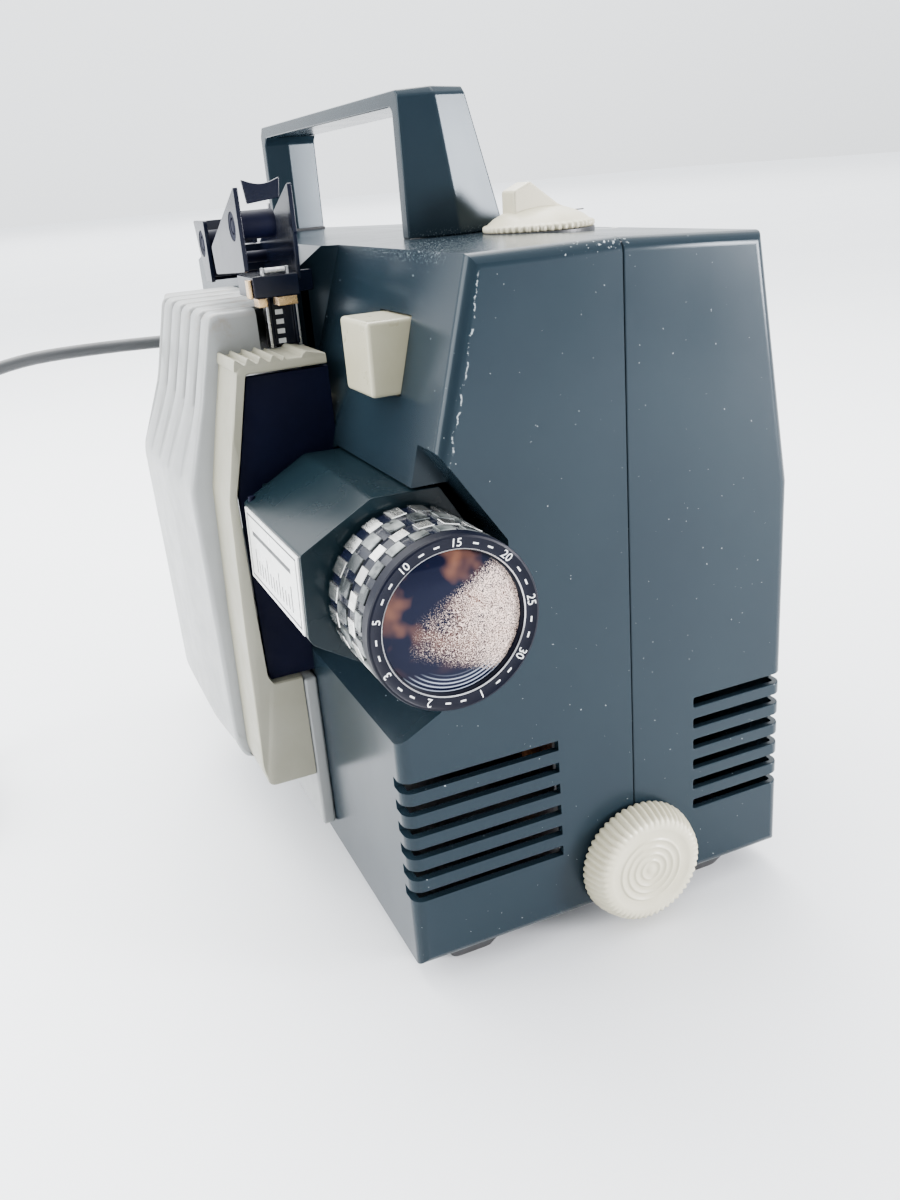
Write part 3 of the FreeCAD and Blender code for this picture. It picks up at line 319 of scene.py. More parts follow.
# Black plastic tinted navy as painted shade: it colours the gate wall, the pins, and the bushes and
# spindles deep in the arms, standing in for the shade there.
NAVY_SHADE_BLACK = plastic("gate_black_painted_shade", (0.0006, 0.0012, 0.009), 0.6, tint=(0.001, 0.002, 0.013), grain=0.04,
               shine=0.1)
SATIN_BLACK = plastic("satin_black", (0.016, 0.017, 0.02), 0.42, grain=0.2)
CARRIER = plastic("carrier_anthracite", (0.005, 0.012, 0.016), 0.26, grain=0.01, patch=9,
                  shine=0.13)
RUBBER = plastic("dark_rubber", (0.02, 0.02, 0.021), 0.62, grain=0.3, grain_scale=900)
CORD = plastic("cord_grey_black", (0.05, 0.052, 0.055), 0.45, grain=0.15)
WHITE_PRINT = plastic("white_print", (0.82, 0.83, 0.82), 0.5, grain=0.02)
ENAMEL = plastic("white_enamel", (0.8, 0.81, 0.79), 0.25, tint=(0.74, 0.74, 0.7), coat=0.3)
DARK_PRINT = plastic("dark_print", (0.03, 0.03, 0.032), 0.5, grain=0.02)
SILVER = knurl_silver()
DARK_FACET = knurl_dark()
GLASS = dusty_glass()
INNER_GLASS = clear_glass()
STEEL = metal("plain_steel", (0.62, 0.62, 0.63), 0.28)
TIN = metal("tinned_sheet", (0.55, 0.56, 0.57), 0.38, 220)
BRASS = metal("worn_brass", (0.82, 0.56, 0.3), 0.24, 700)
COPPER = metal("lacquered_wire", (0.5, 0.2, 0.09), 0.3, 1500, (1, 0.05, 0.05))
MIRROR = metal("silvered_bowl", (0.85, 0.85, 0.84), 0.08)
ANODISED = metal("black_anodised", (0.06, 0.06, 0.065), 0.35)
INNER = plastic("grey_moulding", (0.3, 0.3, 0.29), 0.45)
BEIGE = plastic("beige_moulding", (0.6, 0.56, 0.46), 0.45)


# ---- mesh helpers

def stored(name, bm):
    """A bmesh as a mesh. The bmesh is used up."""
    mesh = bpy.data.meshes.new(name)
    bm.to_mesh(mesh)
    bm.free()
    return mesh


def placed(name, data):
    """A new object in the scene."""
    obj = bpy.data.objects.new(name, data)
    bpy.context.scene.collection.objects.link(obj)
    return obj


def piece(name, bm, *looks, **more):
    """Turns a bmesh, in row metres, into a piece that rides on a body."""
    bmesh.ops.recalc_face_normals(bm, faces=bm.faces[:])
    return dress(name, stored(name, bm), *looks, **more)


def dress(name, mesh, materials, body, bevel=0.0, segments=2, angle=30, cad=None, slot=None,
          smooth=True):
    """Gives a mesh its looks and its body, and hides the CAD node that it stands for."""
    obj = placed(name, mesh)
    for material in materials if isinstance(materials, list) else [materials]:
        mesh.materials.append(material)
    if smooth:
        mesh.shade_smooth()
        mesh.set_sharp_from_angle(angle=radians(angle))
    if bevel:
        round_edges(obj, bevel, segments, angle)
    if cad:
        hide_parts(cad)
    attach(obj, body)
    return obj


def lathe(name, profile, centre, axis, steps, *looks, closed=False, wave=None, **more):
    """A piece that is one turned profile."""
    bm = bmesh.new()
    turned(bm, profile, centre, axis, steps, closed=closed, wave=wave)
    return piece(name, bm, *looks, **more)


def blocks(name, corners, *looks, **more):
    """A piece made of plain boxes, each given by two corners."""
    bm = bmesh.new()
    for low, high in corners:
        box(bm, low, high)
    return piece(name, bm, *looks, **more)


def round_edges(obj, width, segments, angle):
    """Rounds an object's sharp edges and keeps its flat faces flat."""
    soft = obj.modifiers.new("rounded_edges", "BEVEL")
    soft.width = width * MM
    soft.segments = segments
    soft.limit_method = "ANGLE"
    soft.angle_limit = radians(angle)
    soft.miter_outer = "MITER_ARC"
    soft.use_clamp_overlap = True
    level = obj.modifiers.new("even_normals", "WEIGHTED_NORMAL")
    level.keep_sharp = False
    obj.data.shade_smooth()
    for edge in obj.data.edges:
        edge.use_edge_sharp = False


def baked(obj):
    """A mesh of what an object looks like with its modifiers."""
    graph = bpy.context.evaluated_depsgraph_get()
    return bpy.data.meshes.new_from_object(obj.evaluated_get(graph))


def carved(obj, bm, angle):
    """Cuts a bmesh's solid out of an object, and applies the object's modifiers."""
    bmesh.ops.recalc_face_normals(bm, faces=bm.faces[:])
    cutter = placed("cutter", stored("cutter", bm))
    obj.modifiers.new("cut", "BOOLEAN").object = cutter
    obj.data = mesh = baked(obj)
    obj.modifiers.clear()
    mesh.shade_smooth()
    mesh.set_sharp_from_angle(angle=radians(angle))
    bpy.data.objects.remove(cutter)


def drilled(obj, radius, centre, axis, low, high):
    """Cuts a round hole through an object, from low to high along the axis."""
    hole = bmesh.new()
    turned(hole, [(radius, low), (radius, high)], centre, axis)
    carved(obj, hole, 30)


def refined(node, material, body, bevel=0.5, segments=2, angle=28):
    """A CAD node's own shape, its flat faces made whole again and its edges rounded."""
    bm = bmesh.new()
    bm.from_mesh(nodes[node].data)
    bmesh.ops.remove_doubles(bm, verts=bm.verts[:], dist=2e-6)
    bmesh.ops.dissolve_limit(bm, angle_limit=radians(0.6), verts=bm.verts[:],
                             edges=bm.edges[:])
    for face in bm.faces:
        face.material_index = 0
    return piece(f"{node}_shell", bm, material, body, bevel, segments, angle, cad=node)


def solid(bm, outline, axis, low, high, material=0):
    """Extrudes an outline in the two other axes, in design millimetres."""
    k = "xyz".index(axis)
    return loft(bm, [[(*p[:k], c, *p[k:]) for p in outline] for c in (low, high)], material)


def loft(bm, rings, material=0, capped=True, closed=True):
    """Joins rings of points, in design millimetres, into one skin."""
    rings = [[bm.verts.new(at(*p)) for p in ring] for ring in rings]
    return close_rings(bm, rings, material, capped, closed)


def close_rings(bm, rings, material=0, capped=True, closed=True):
    """Joins rings of vertices with quads, and caps the first and last."""
    faces = []
    count = len(rings[0])
    for one, two in zip(rings, rings[1:]):
        for i in range(count if closed else count - 1):
            j = (i + 1) % count
            faces.append(bm.faces.new((one[i], one[j], two[j], two[i])))
    if capped:
        faces.append(bm.faces.new(rings[0][::-1]))
        faces.append(bm.faces.new(rings[-1]))
    for face in faces:
        face.material_index = material
    return faces


def box(bm, low, high, material=0):
    outline = [(low[0], low[1]), (high[0], low[1]), (high[0], high[1]), (low[0], high[1])]
    return solid(bm, outline, "z", low[2], high[2], material)


UNITS = Matrix.Identity(3)


def turned(bm, profile, centre, axis, steps=64, material=0, closed=False, wave=None):
    """Spins (radius, distance along the axis) corners about an axis through centre."""
    number = "xyz".index(axis)
    one, two, along = (UNITS[(number + i) % 3] for i in (1, 2, 3))
    hub = at(*centre)
    rings = []
    for radius, height in profile:
        ring = []
        for i in range(steps):
            angle = tau * i / steps
            reach = radius * (wave(i, radius, height) if wave else 1)
            way = one * cos(angle) + two * sin(angle)
            ring.append(bm.verts.new(hub + (way * reach + along * height) * MM))
        rings.append(ring)
    if closed:
        rings.append(rings[0])
    return close_rings(bm, rings, material, capped=not closed)


def rounded(outline, radius, steps=4, closed=True):
    """Rounds the corners of an outline. Each corner gives steps + 1 points."""
    points = [Vector(p) for p in outline]
    count = len(points)
    out = []
    for i, corner in enumerate(points):
        if not closed and i in (0, count - 1):
            out.append(tuple(corner))
            continue
        before, after = points[i - 1] - corner, points[(i + 1) % count] - corner
        reach = min(radius, before.length * 0.45, after.length * 0.45)
        start, end = corner + before.normalized() * reach, corner + after.normalized() * reach
        for k in range(steps + 1):
            t = k / steps
            out.append(tuple((1 - t) ** 2 * start + 2 * t * (1 - t) * corner + t * t * end))
    return out


def moved(a, b, *pairs):
    """An outline given from the point (a, b)."""
    return [(a + x, b + y) for x, y in pairs]


def smoothstep(low, high, value):
    t = min(1, max(0, (value - low) / (high - low)))
    return t * t * (3 - 2 * t)


# ---- camera, light, floor

def camera():
    """Close in front of the left-hand corner, looking down a little, slightly rolled."""
    data = bpy.data.cameras.new("camera")
    data.lens = 32.31
    data.sensor_width = 36
    right = Vector((0.91275, -0.40071, -0.07954))
    up = Vector((0.21554, 0.30694, 0.92700))
    turn = Matrix((right, up, right.cross(up))).transposed()
    eye = placed("camera", data)
    eye.matrix_world = Matrix.Translation(at(-163.13, -260.0, 240.1)) @ turn.to_4x4()
    bpy.context.scene.camera = eye


def lamp(name, place, aim, size, power, colour):
    data = bpy.data.lights.new(name, "AREA")
    data.shape = "RECTANGLE"
    data.size, data.size_y = size
    data.energy = power
    data.color = colour
    obj = placed(name, data)
    obj.location = place
    obj.rotation_euler = (Vector(aim) - Vector(place)).to_track_quat("-Z", "Y").to_euler()


def studio():
    """A white room, brighter behind and above than in front, and four area lamps."""
    world = bpy.data.worlds.new("studio")
    world.use_nodes = True
    bpy.context.scene.world = world
    tree = world.node_tree
    sky = tree.nodes["Background"]
    sky.inputs["Color"].default_value = (0.93, 0.965, 1.0, 1)
    where, split, behind, high, level = (tree.nodes.new(f"ShaderNode{kind}") for kind in (
        "TexCoord", "SeparateXYZ", "Math", "Math", "MapRange"))
    behind.operation = "MULTIPLY"
    behind.inputs[1].default_value = 0.42
    high.operation = "MULTIPLY_ADD"
    high.inputs[1].default_value = 0.9
    level.interpolation_type = "SMOOTHSTEP"
    for key, number in (("From Min", -0.5), ("From Max", 0.95), ("To Min", 0.42), ("To Max", 3.3)):
        level.inputs[key].default_value = number
    for start, end in ((where.outputs["Generated"], split.inputs[0]),
                       (split.outputs["Y"], behind.inputs[0]), (split.outputs["Z"], high.inputs[0]),
                       (behind.outputs[0], high.inputs[2]), (high.outputs[0], level.inputs["Value"]),
                       (level.outputs["Result"], sky.inputs["Strength"])):
        tree.links.new(start, end)
    lamp("overhead", (0.0, 0.55, 1.3), (0, 0.1, 0.1), (1.2, 1.2), 40, (1, 0.99, 0.97))
    lamp("left_softbox", (-1.3, 0.25, 0.7), (0, 0, 0.12), (0.9, 1.0), 34, (0.98, 0.99, 1))
    lamp("right_window", (0.985, -0.945, 0.3), (0.02, -0.04, 0.24), (0.32, 0.34), 42,
         (0.97, 0.96, 1))
    lamp("backdrop_wash", (0, 6.5, 4.5), (0, 6.5, 0), (10, 8), 700, (0.98, 0.99, 1))
    bm = bmesh.new()
    columns, rows = (-14, -4, 4, 14), (-8, -3, 3, 20)
    grid = {(x, y): bm.verts.new((x, y, 0)) for x in columns for y in rows}
    for x0, x1 in zip(columns, columns[1:]):
        for y0, y1 in zip(rows, rows[1:]):
            bm.faces.new([grid[c] for c in ((x0, y0), (x1, y0), (x1, y1), (x0, y1))])
    floor = placed("floor", stored("floor", bm))
    floor.data.materials.append(floor_material())


# ---- the cord

CORD_R = 2.75
CORD_ROUTE = [
    (-88, 247, 180.5), (-118, 247, 181.5), (-156, 247.5, 180), (-187, 250, 168),
    (-204, 254, 140), (-208.5, 259, 104), (-209, 262, 68), (-209, 261, 38),
    (-209, 254, 17.5), (-209, 237, 5.2), (-208.6, 219, 2.85),
]
COIL_X, COIL_Y = middle("cord_coil").xy


def coil_points():
    """Eight turns, wound inwards on the table, outwards on top, then up to the plug."""
    radii = [35.3, 30, 24.7, 24.7, 30, 35.3, 33, 27.5]
    layers = [0, 0, 0, 1, 1, 1, 2, 2]
    per_turn, slack, lift = 16, 1.012, 1.02
    last = len(radii) - 1
    out = []
    for i in range(len(radii) * per_turn - 1):
        turn = i / per_turn
        k = min(int(turn), last)
        after = min(k + 1, last)
        share = smoothstep(0.75, 1.0, turn - k)
        radius = (radii[k] + (radii[after] - radii[k]) * share) * slack
        height = CORD_R * (lift + 2 * (layers[k] + (layers[after] - layers[k]) * share))
        angle = -tau * turn
        out.append((COIL_X + radius * cos(angle), COIL_Y + radius * sin(angle), height))
    return out


def mains_cord():
    plug_y, plug_z = middle("mains_plug").yz
    tail = [
        (COIL_X + 28, COIL_Y - 2, 16.5), (COIL_X + 26.5, COIL_Y - 13, 20.5),
        (COIL_X + 22.5, COIL_Y - 21, plug_z - 0.6), (COIL_X + 18.5, plug_y, plug_z),
        (COIL_X + 12, plug_y, plug_z),
    ]
    points = [*CORD_ROUTE, *coil_points(), *tail]
    data = bpy.data.curves.new("flexible_cord", "CURVE")
    data.dimensions = "3D"
    data.bevel_depth = CORD_R * MM
    data.bevel_resolution = 4
    data.resolution_u = 6
    spline = data.splines.new("NURBS")
    spline.points.add(len(points) - 1)
    for knot, point in zip(spline.points, points):
        knot.co = (*at(*point), 1)
    spline.order_u = 3
    spline.use_endpoint_u = True
    data.materials.append(CORD)
    cord = placed("flexible_cord", data)
    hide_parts("mains_cord", "cord_coil")
    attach(cord, "casing")
    relief = strain_relief()
    plug = mains_plug(plug_y, plug_z)


def strain_relief():
    """A tapered boot with bending grooves, and the nut that holds it in the wall."""
    low, high = span("strain_relief")
    centre = middle("strain_relief")
    centre.x = high.x
    profile = [(0.1, 0), (7.3, 0), (7.3, -1.7), (5.1, -2), (5.1, -5.2), (7.0, -5.4), (7.0, -7.6)]
    start, end, grooves = -8.6, low.x - high.x, 8

    def reach(number):
        return start + (end - start) * number / grooves

    for i in range(grooves):
        radius = 5.2 - 1.75 * i / grooves
        profile += [(radius, reach(i)), (radius - 0.1, reach(i + 0.62)),
                    (radius - 0.8, reach(i + 0.62) - 0.15), (radius - 0.85, reach(i + 0.93))]
    profile += [(3.3, end), (0.1, end)]
    return lathe("cord_boot", profile, centre, "x", 40, RUBBER, "casing", 0.2,
                 cad="strain_relief")


def mains_plug(y, z):
    """A moulded two-pin plug: a waisted grip, ribs and two round pins."""
    bm = bmesh.new()
    stations = [(17, 4.2, 4.2), (12, 5.2, 5), (9, 9.5, 6.2), (2, 12.4, 6.7), (-9, 13, 6.7),
                (-13.5, 12.6, 6.6), (-15, 11, 5.6)]
    rings = []
    for x, wide, tall in stations:
        ring = []
        for i in range(28):
            angle = tau * i / 28
            c, s = cos(angle), sin(angle)
            square = (abs(c) ** 4 + abs(s) ** 4) ** -0.25 * 0.96
            ring.append((COIL_X + x, y + wide * c * square, z + tall * s * square))
        rings.append(ring)
    loft(bm, rings)
    for x in (5, 1, -3, -7):
        for side in (-1, 1):
            box(bm, (COIL_X + x, y + side * 12.3 - 0.8, z - 4.4),
                (COIL_X + x + 1.6, y + side * 12.3 + 0.8, z + 4.4))
    for side in (-1, 1):
        pin = [(0.1, -14), (2, -14), (2, -33.6), (1.4, -34.8), (0.1, -35)]
        turned(bm, pin, (COIL_X, y + side * 9.3, z), "x", 24, material=1)
    return piece("plug_body", bm, [SATIN_BLACK, STEEL], "casing", 0.35, cad="mains_plug")


# ---- casing

def shells():
    for node in ("left_shell", "right_shell"):
        refined(node, CASING, "casing", 0.55)


def seam_shadow():
    """A tongue set back behind the seam, so that no light shows between the shells."""
    bm = bmesh.new()
    top, deep, low = CASE_TOP - 1.2, CASE_DEEP - 1.2, span("left_shell")[0].z + 1.2
    outline = [(1.2, low), (1.2, top), (deep, top), (deep, low)]
    inner = [(3, low + 1.8), (3, top - 1.8), (deep - 1.8, top - 1.8), (deep - 1.8, low + 1.8)]
    order = (-0.6, outline), (-0.6, inner), (0.6, inner), (0.6, outline)
    rings = [[bm.verts.new(at(x, *p)) for p in ring] for x, ring in order]
    rings.append(rings[0])
    close_rings(bm, rings, capped=False)
    piece("seam_tongue", bm, SATIN_BLACK, "casing")


def feet():
    bm = bmesh.new()
    low, high = span("rubber_feet")
    top, sole = 12, 7.5
    for x in (low.x + top, high.x - top):
        for y in (low.y + top, high.y - top):
            rings = []
            for z, half in ((0, sole - 0.8), (0.8, sole), (high.z - 0.1, top - 0.4)):
                square = moved(x, y, (-half, -half), (half, -half), (half, half), (-half, half))
                rings.append([(a, b, z) for a, b in rounded(square, 2.4)])
            loft(bm, rings)
    piece("feet", bm, RUBBER, "casing", cad="rubber_feet")


def grille():
    low, high = span("rear_grille")
    plates = [(low, (high.x, low.y + 0.8, high.z))]
    for x0, x1 in ((low.x, -36), (36, high.x)):
        plates.append(((x0, low.y + 0.7, low.z), (x1, high.y, high.z)))
    slot_low, pitch, slot_tall = 68, 8.7, 3.5
    edges = [slot_low + pitch * i + rise for i in range(9) for rise in (0, slot_tall)]
    edges = [low.z, *edges, high.z]
    for z0, z1 in zip(edges[::2], edges[1::2]):
        plates.append(((-36.2, low.y + 0.7, z0), (36.2, high.y, z1)))
    blocks("grille_plate", plates, SATIN_BLACK, "casing", 0.3, cad="rear_grille")
    bm = bmesh.new()
    for x in (low.x + 3.2, high.x - 3.2):
        for z in (low.z + 3.2, high.z - 3.2):
            screw(bm, (x, high.y - 0.6, z), "y", 2)
    for x in (-62, 50):
        for y in (32, 236):
            screw(bm, (x, y, span("left_shell")[0].z + 0.35), "z", 3, -1)
    piece("screws", bm, STEEL, "casing", 0.08)


def screw(bm, centre, axis, radius, sign=1):
    """A domed head with a cross recess, seen from the axis's end."""
    dome = [(0.1, 0), (radius, 0), (radius, 0.25 * sign), (radius * 0.75, 0.5 * sign),
            (radius * 0.4, 0.58 * sign), (0.1, 0.6 * sign)]
    turned(bm, dome, centre, axis, 24)


def handle():
    """A faceted band: a ridge runs up the front post, along the top and down the back."""
    left, right = HANDLE_LOW.x, -1.9
    top = HANDLE_HIGH.z
    front, back = 91.0, HANDLE_HIGH.y
    # left x, ridge x, right x, then (y, z) of the outer skin, its ridge, the inner skin, its ridge
    stations = [
        (left, -7.5, 10.0, (front, CASE_TOP), (front - 3, CASE_TOP), (97, CASE_TOP), 0),
        (left, -13.9, -1.6, (front, top - 2.4), (front - 3, top - 2.4), (97, top - 6.4), 0),
        (left, -14.2, right, (front + 1.6, top - 0.5), (front - 0.6, top), (99.5, top - 5.3), 0),
        (left, -14.2, right, (back - 3.4, top - 0.6), (back - 3.2, top), (257.0, top - 5.3), -1.6),
        (left, -15.4, right, (back - 0.4, top - 4), (back, top - 4), (260, top - 8.2), -2.2),
        (left, -15.4, right, (back - 0.4, CASE_TOP), (back, CASE_TOP), (260, CASE_TOP), -2.2),
    ]
    rings = [[(l, *outer), (ridge, *crest), (r, *outer), (r, *inner),
              (ridge, inner[0] + bulge, inner[1]), (l, *inner)]
             for l, ridge, r, outer, crest, inner, bulge in stations]
    bm = bmesh.new()
    loft(bm, rings)
    piece("faceted_handle", bm, CASING, "casing", 0.7, 3, 12, cad="carrying_handle",
          slot="dark_casing")
    foot = CASE_TOP - 0.4
    blocks("handle_sockets", [
        ((left + 0.4, 257.4, foot), (right - 0.3, back - 0.1, CASE_TOP + 1.1)),
        ((left + 0.4, front - 0.5, foot), (6, 97.5, CASE_TOP + 0.35)),
    ], SATIN_BLACK, "casing", 0.3)


def top_marks():
    """A printed index line beside the dial that ends in a dot."""
    bm = bmesh.new()
    slope = 2.5 / 47.3
    y = middle("selector_dial").y
    x0, x1, half, dot_x = 32.4, 39.2, 0.35, 41
    corners = [(x0, y - half), (x1, y - half), (x1, y + half), (x0, y + half)]
    loft(bm, [[(a, b, CASE_TOP - a * slope + lift) for a, b in corners] for lift in (-0.02, 0.06)])
    turned(bm, [(1.3, -0.02), (1.3, 0.07)], (dot_x, y, CASE_TOP - dot_x * slope), "z", 24)
    piece("index_mark", bm, WHITE_PRINT, "casing")


# ---- film side

def film_cover():
    """A loft along Y: the fluted hood, its front face, the lip and the mouth's reveal."""
    y_lip, y_back = COVER_LOW.y, COVER_HIGH.y
    top, low, out = COVER_HIGH.z, COVER_LOW.z, COVER_LOW.x
    y_hood, right = 108.0, -60.6
    foot = -84.0
    hood = [(right, top), (-92.4, top), (-99.5, 174), (-107.9, 145), (-107.4, 100),
            (-106.9, 46), (-103.9, low), (foot, low)]
    lip = [(right - 0.6, 189.4), (-90.8, 189.4), (-95.4, 168), (-99.9, 146), (-101.6, 100),
           (-102.9, 46), (-101.2, low + 0.3), (foot, low + 0.3)]
    mouth = [(right - 0.6, 186.2), (-88.3, 186), (-94.0, 159), (-96.9, 146.8), (-96.4, 105),
             (-96.0, 82), (-94.2, 78.7), (foot, 78.6)]

    def shrunk(outline, amount):
        centre = Vector((-78, 120))
        out = []
        for a, b in outline:
            way = (centre - Vector((a, b))).normalized() * amount
            out.append((a + way.x if a < right - 1 else a, b + way.y))
        return out

    outlines = {"hood": (hood, 3.4), "lip": (lip, 2.2), "mouth": (mouth, 1.2)}
    stations = []

    def station(kind, shrink, y, groove=0.0, chamfer=0.0):
        """Adds one cross-section. Only the slanted left side grows, dips or is cut back."""
        outline, radius = outlines[kind]
        bulge = 2.3 * smoothstep(y_hood + 4, y_hood + 40, y)
        ring = []
        for x, z in rounded(shrunk(outline, shrink), radius, 4, closed=False):
            x -= bulge * smoothstep(175, 148, z) * smoothstep(-84, -104, x)
            share = smoothstep(166, 171, z) * smoothstep(-74, -80, x)
            push_x = groove * share * (1 if z < top - 2 else 0.3)
            push_z = groove * share * (1 if z > top - 5 else 0)
            cut = chamfer * smoothstep(-84, -104, x)
            ring.append((x + push_x + cut, y, z - push_z))
        stations.append(ring)

    for row in (("mouth", 0, y_hood + 2.4), ("mouth", 0, y_lip + 0.6), ("mouth", -0.5, y_lip),
                ("lip", 1.0, y_lip), ("lip", 0.25, y_lip + 0.35), ("lip", 0, y_lip + 1.1),
                ("lip", 0, y_hood - 0.8), ("lip", -0.4, y_hood), ("hood", 2.4, y_hood),
                ("hood", 0.9, y_hood + 0.6), ("hood", 0.2, y_hood + 1.6), ("hood", 0, y_hood + 3)):
        station(*row)
    for i in range(5):
        start = y_hood + 11 + FLUTE_PITCH * i
        for step, depth in ((-0.9, 0), (-0.2, 0.3), (0.7, 1.5), (5.3, 1.5), (6.2, 0.3), (6.9, 0)):
            chamfer = 10 * smoothstep(y_back - 22, y_back + 6, start + step)
            station("hood", 0, start + step, depth, chamfer)
    for shrink, y, chamfer in ((0, y_back - 3, 8.6), (0.8, y_back - 0.8, 9.6), (2.2, y_back, 10)):
        station("hood", shrink, y, 0, chamfer)
    bm = bmesh.new()
    faces = loft(bm, stations, capped=False, closed=False)
    bm.verts.ensure_lookup_table()
    per_ring = len(stations[0])
    back_face = bm.faces.new(bm.verts[-per_ring:])
    cream_rows = 7
    for face in faces[:cream_rows * (per_ring - 1)]:
        face.material_index = 1
    bmesh.ops.recalc_face_normals(bm, faces=bm.faces[:])
    if back_face.normal.y < 0:
        bmesh.ops.reverse_faces(bm, faces=bm.faces[:])
    shell = dress("hood", stored("hood", bm), [COVER, LIP], "film_cover", 0, 2, 40, "film_cover",
                  "grey_cover")
    thick = shell.modifiers.new("wall", "SOLIDIFY")
    thick.thickness = 1.2 * MM
    thick.offset = -1
    notch = bmesh.new()
    box(notch, (-76.4, y_lip + 24, 189.7), (-50, 123, top + 5))
    carved(shell, notch, 38)
    teeth(y_lip, y_hood)


def teeth(y_lip, y_hood):
    """The lip's top strip: four saw teeth, a finger scoop and a flat end."""
    profile = [(-91.9, 187.4), (-91.7, 189.2)]
    pitch = 4.1
    for i in range(4):
        x = -91.3 + pitch * i
        profile += [(x, 190.9), (x + 0.6, 191.0), (x + 3.2, 188.9)]
    for i in range(9):
        angle = pi * (1 + i / 8)
        profile.append((-71.9 + 3.1 * cos(angle), 190.3 + 1.9 * sin(angle)))
    profile += [(-67.6, 190.9), (-61.9, 189.5), (-61.4, 189.2), (-61.4, 187.4)]
    bm = bmesh.new()
    solid(bm, profile, "y", y_lip + 0.15, y_hood + 1)
    piece("lip_teeth", bm, LIP, "film_cover", 0.22, 2, 20)


def film_parts():
    refined("film_plate", COVER, "casing", 1.2, 3)
    low, high = span("gate_panel")
    bm = bmesh.new()
    wall = [(high.x, low.z + 0.2), (-95.2, low.z + 0.2), (-95.9, 146.7), (-87.6, high.z - 0.2),
            (high.x, high.z - 0.2)]
    solid(bm, wall, "y", 86, high.y)
    piece("gate_wall", bm, NAVY_SHADE_BLACK, "casing", 0.3, cad="gate_panel")
    refined("film_gate", STEEL, "casing", 0.15)
    low, high = span("film_chute")
    bm = bmesh.new()
    x0, x1, y, z0, z1 = low.x, high.x, low.y, low.z, high.z
    channel = [*moved(x0, y, (0, 0), (0.9, 0), (1.2, 1.4)),
               *moved(x1, y, (-1.2, 1.4), (-0.9, 0), (0, 0), (0, 3)), (x0, y + 3)]
    solid(bm, channel, "z", z0, z1)
    box(bm, (-66, y + 2.8, z0), (-63, high.y, z1))
    piece("chute", bm, BLACK, "casing", 0.15, cad="film_chute")
    marks = [z1 - 2.6 - 3.2 * i for i in range(5)]
    blocks("frame_marks", [((x0 + 2.3, y + 1.25, z - 0.8), (x0 + 4.9, y + 1.45, z + 0.8))
                           for z in marks], WHITE_PRINT, "casing")
    blocks("chute_springs", [
        ((x0 - 1.1, y - 0.6, z0 - 0.5), (x0 - 0.15, y + 3.5, z1 - 0.5)),
        ((x1 + 0.15, y + 0.4, z0 - 0.5), (x1 + 0.8, y + 3.5, z1 - 0.5)),
    ], STEEL, "casing", 0.12)


def sprockets():
    """Rollers with sprocket teeth along one rim."""
    tooth_count = 12
    for node in ("upper_sprocket", "lower_sprocket"):
        low = span(node)[0]
        y, z = middle(node).yz
        bm = bmesh.new()
        profile = [(0.1, 0), (7.6, 0), (8.4, 0.5), (8.9, 1), (8.9, 2.1), (7.8, 2.9), (7.8, 7.1),
                   (8.9, 7.9), (8.9, 9), (4, 9.8), (2, 10.2), (1.95, 30), (0.1, 30)]
        turned(bm, profile, (low.x, y, z), "x", 48)
        for i in range(tooth_count):
            angle = tau * (i + 0.5) / tooth_count
            c, s = cos(angle), sin(angle)
            loft(bm, [[(low.x + 3.4 + a * half, y + reach * c - b * half * s,
                        z + reach * s + b * half * c)
                       for a, b in ((-1, -1), (1, -1), (1, 1), (-1, 1))]
                      for reach, half in ((7.6, 0.55), (8.9, 0.3))])
        piece(f"{node}_toothed", bm, CREAM, node, 0.12, cad=node)


# ---- lens

def lens_block():
    low, high = span("lens_carrier")
    block = [(-52.8, 158.2), (-73.4, 158.6), (-95.6, 146.2), (-96.4, 121.5), (-95.2, 119.1),
             (-84.8, 112.4), (-72, 104.5), (-60, 104.5), (-43, 115), (-43, 142)]
    bm = bmesh.new()
    solid(bm, rounded(block, 0.8, 3), "y", low.y, 80.5)
    carrier = piece("lens_block", bm, CARRIER, "lens_mount", cad="lens_carrier")
    drilled(carrier, 19.7, AXIS, "y", low.y - 2, 90)
    round_edges(carrier, 0.5, 3, 20)
    blocks("lens_block_foot", [((-88, 79.9, 108), (-50, high.y, 150))], CARRIER, "lens_mount", 0.4)
    refined("carrier_pin", NAVY_SHADE_BLACK, "casing", 0.2)
    bm = bmesh.new()
    (x0, z0), (x1, z1) = (-96.42, 121.8), (-95.66, 145.4)
    y0, y1 = 17.0, 77.5

    def slab(share0, share1, y_from, y_to, lift=0.5, thick=0.05, material=1):
        """A rectangle on the slanted left face, lifted off it."""
        corners = (share0, y_from), (share1, y_from), (share1, y_to), (share0, y_to)
        loft(bm, [[(x0 + (x1 - x0) * share - lift - t, y, z0 + (z1 - z0) * share)
                   for share, y in corners] for t in (0, thick)], material)

    slab(0.0, 1.0, y0, y1, 0.0, 0.5, 0)
    for a, b, c, d in ((0.05, 0.075, y0 + 2, y1 - 2), (0.925, 0.95, y0 + 2, y1 - 2),
                       (0.05, 0.95, y0 + 2, y0 + 2.6), (0.05, 0.95, y1 - 2.6, y1 - 2)):
        slab(a, b, c, d)
    for i in range(13):
        tall = 0.34 if i % 4 == 0 else 0.2
        slab(0.16, 0.16 + tall, y0 + 10 + 3.4 * i, y0 + 10.7 + 3.4 * i)
    slab(0.68, 0.74, y0 + 9, y0 + 53)
    piece("data_plate", bm, [ENAMEL, DARK_PRINT], "lens_mount", cad="label_plate",
          slot="label")


def off_axis(reach, angle):
    """The x and z of a point round the lens axis."""
    return AXIS.x + reach * sin(angle), AXIS.z + reach * cos(angle)


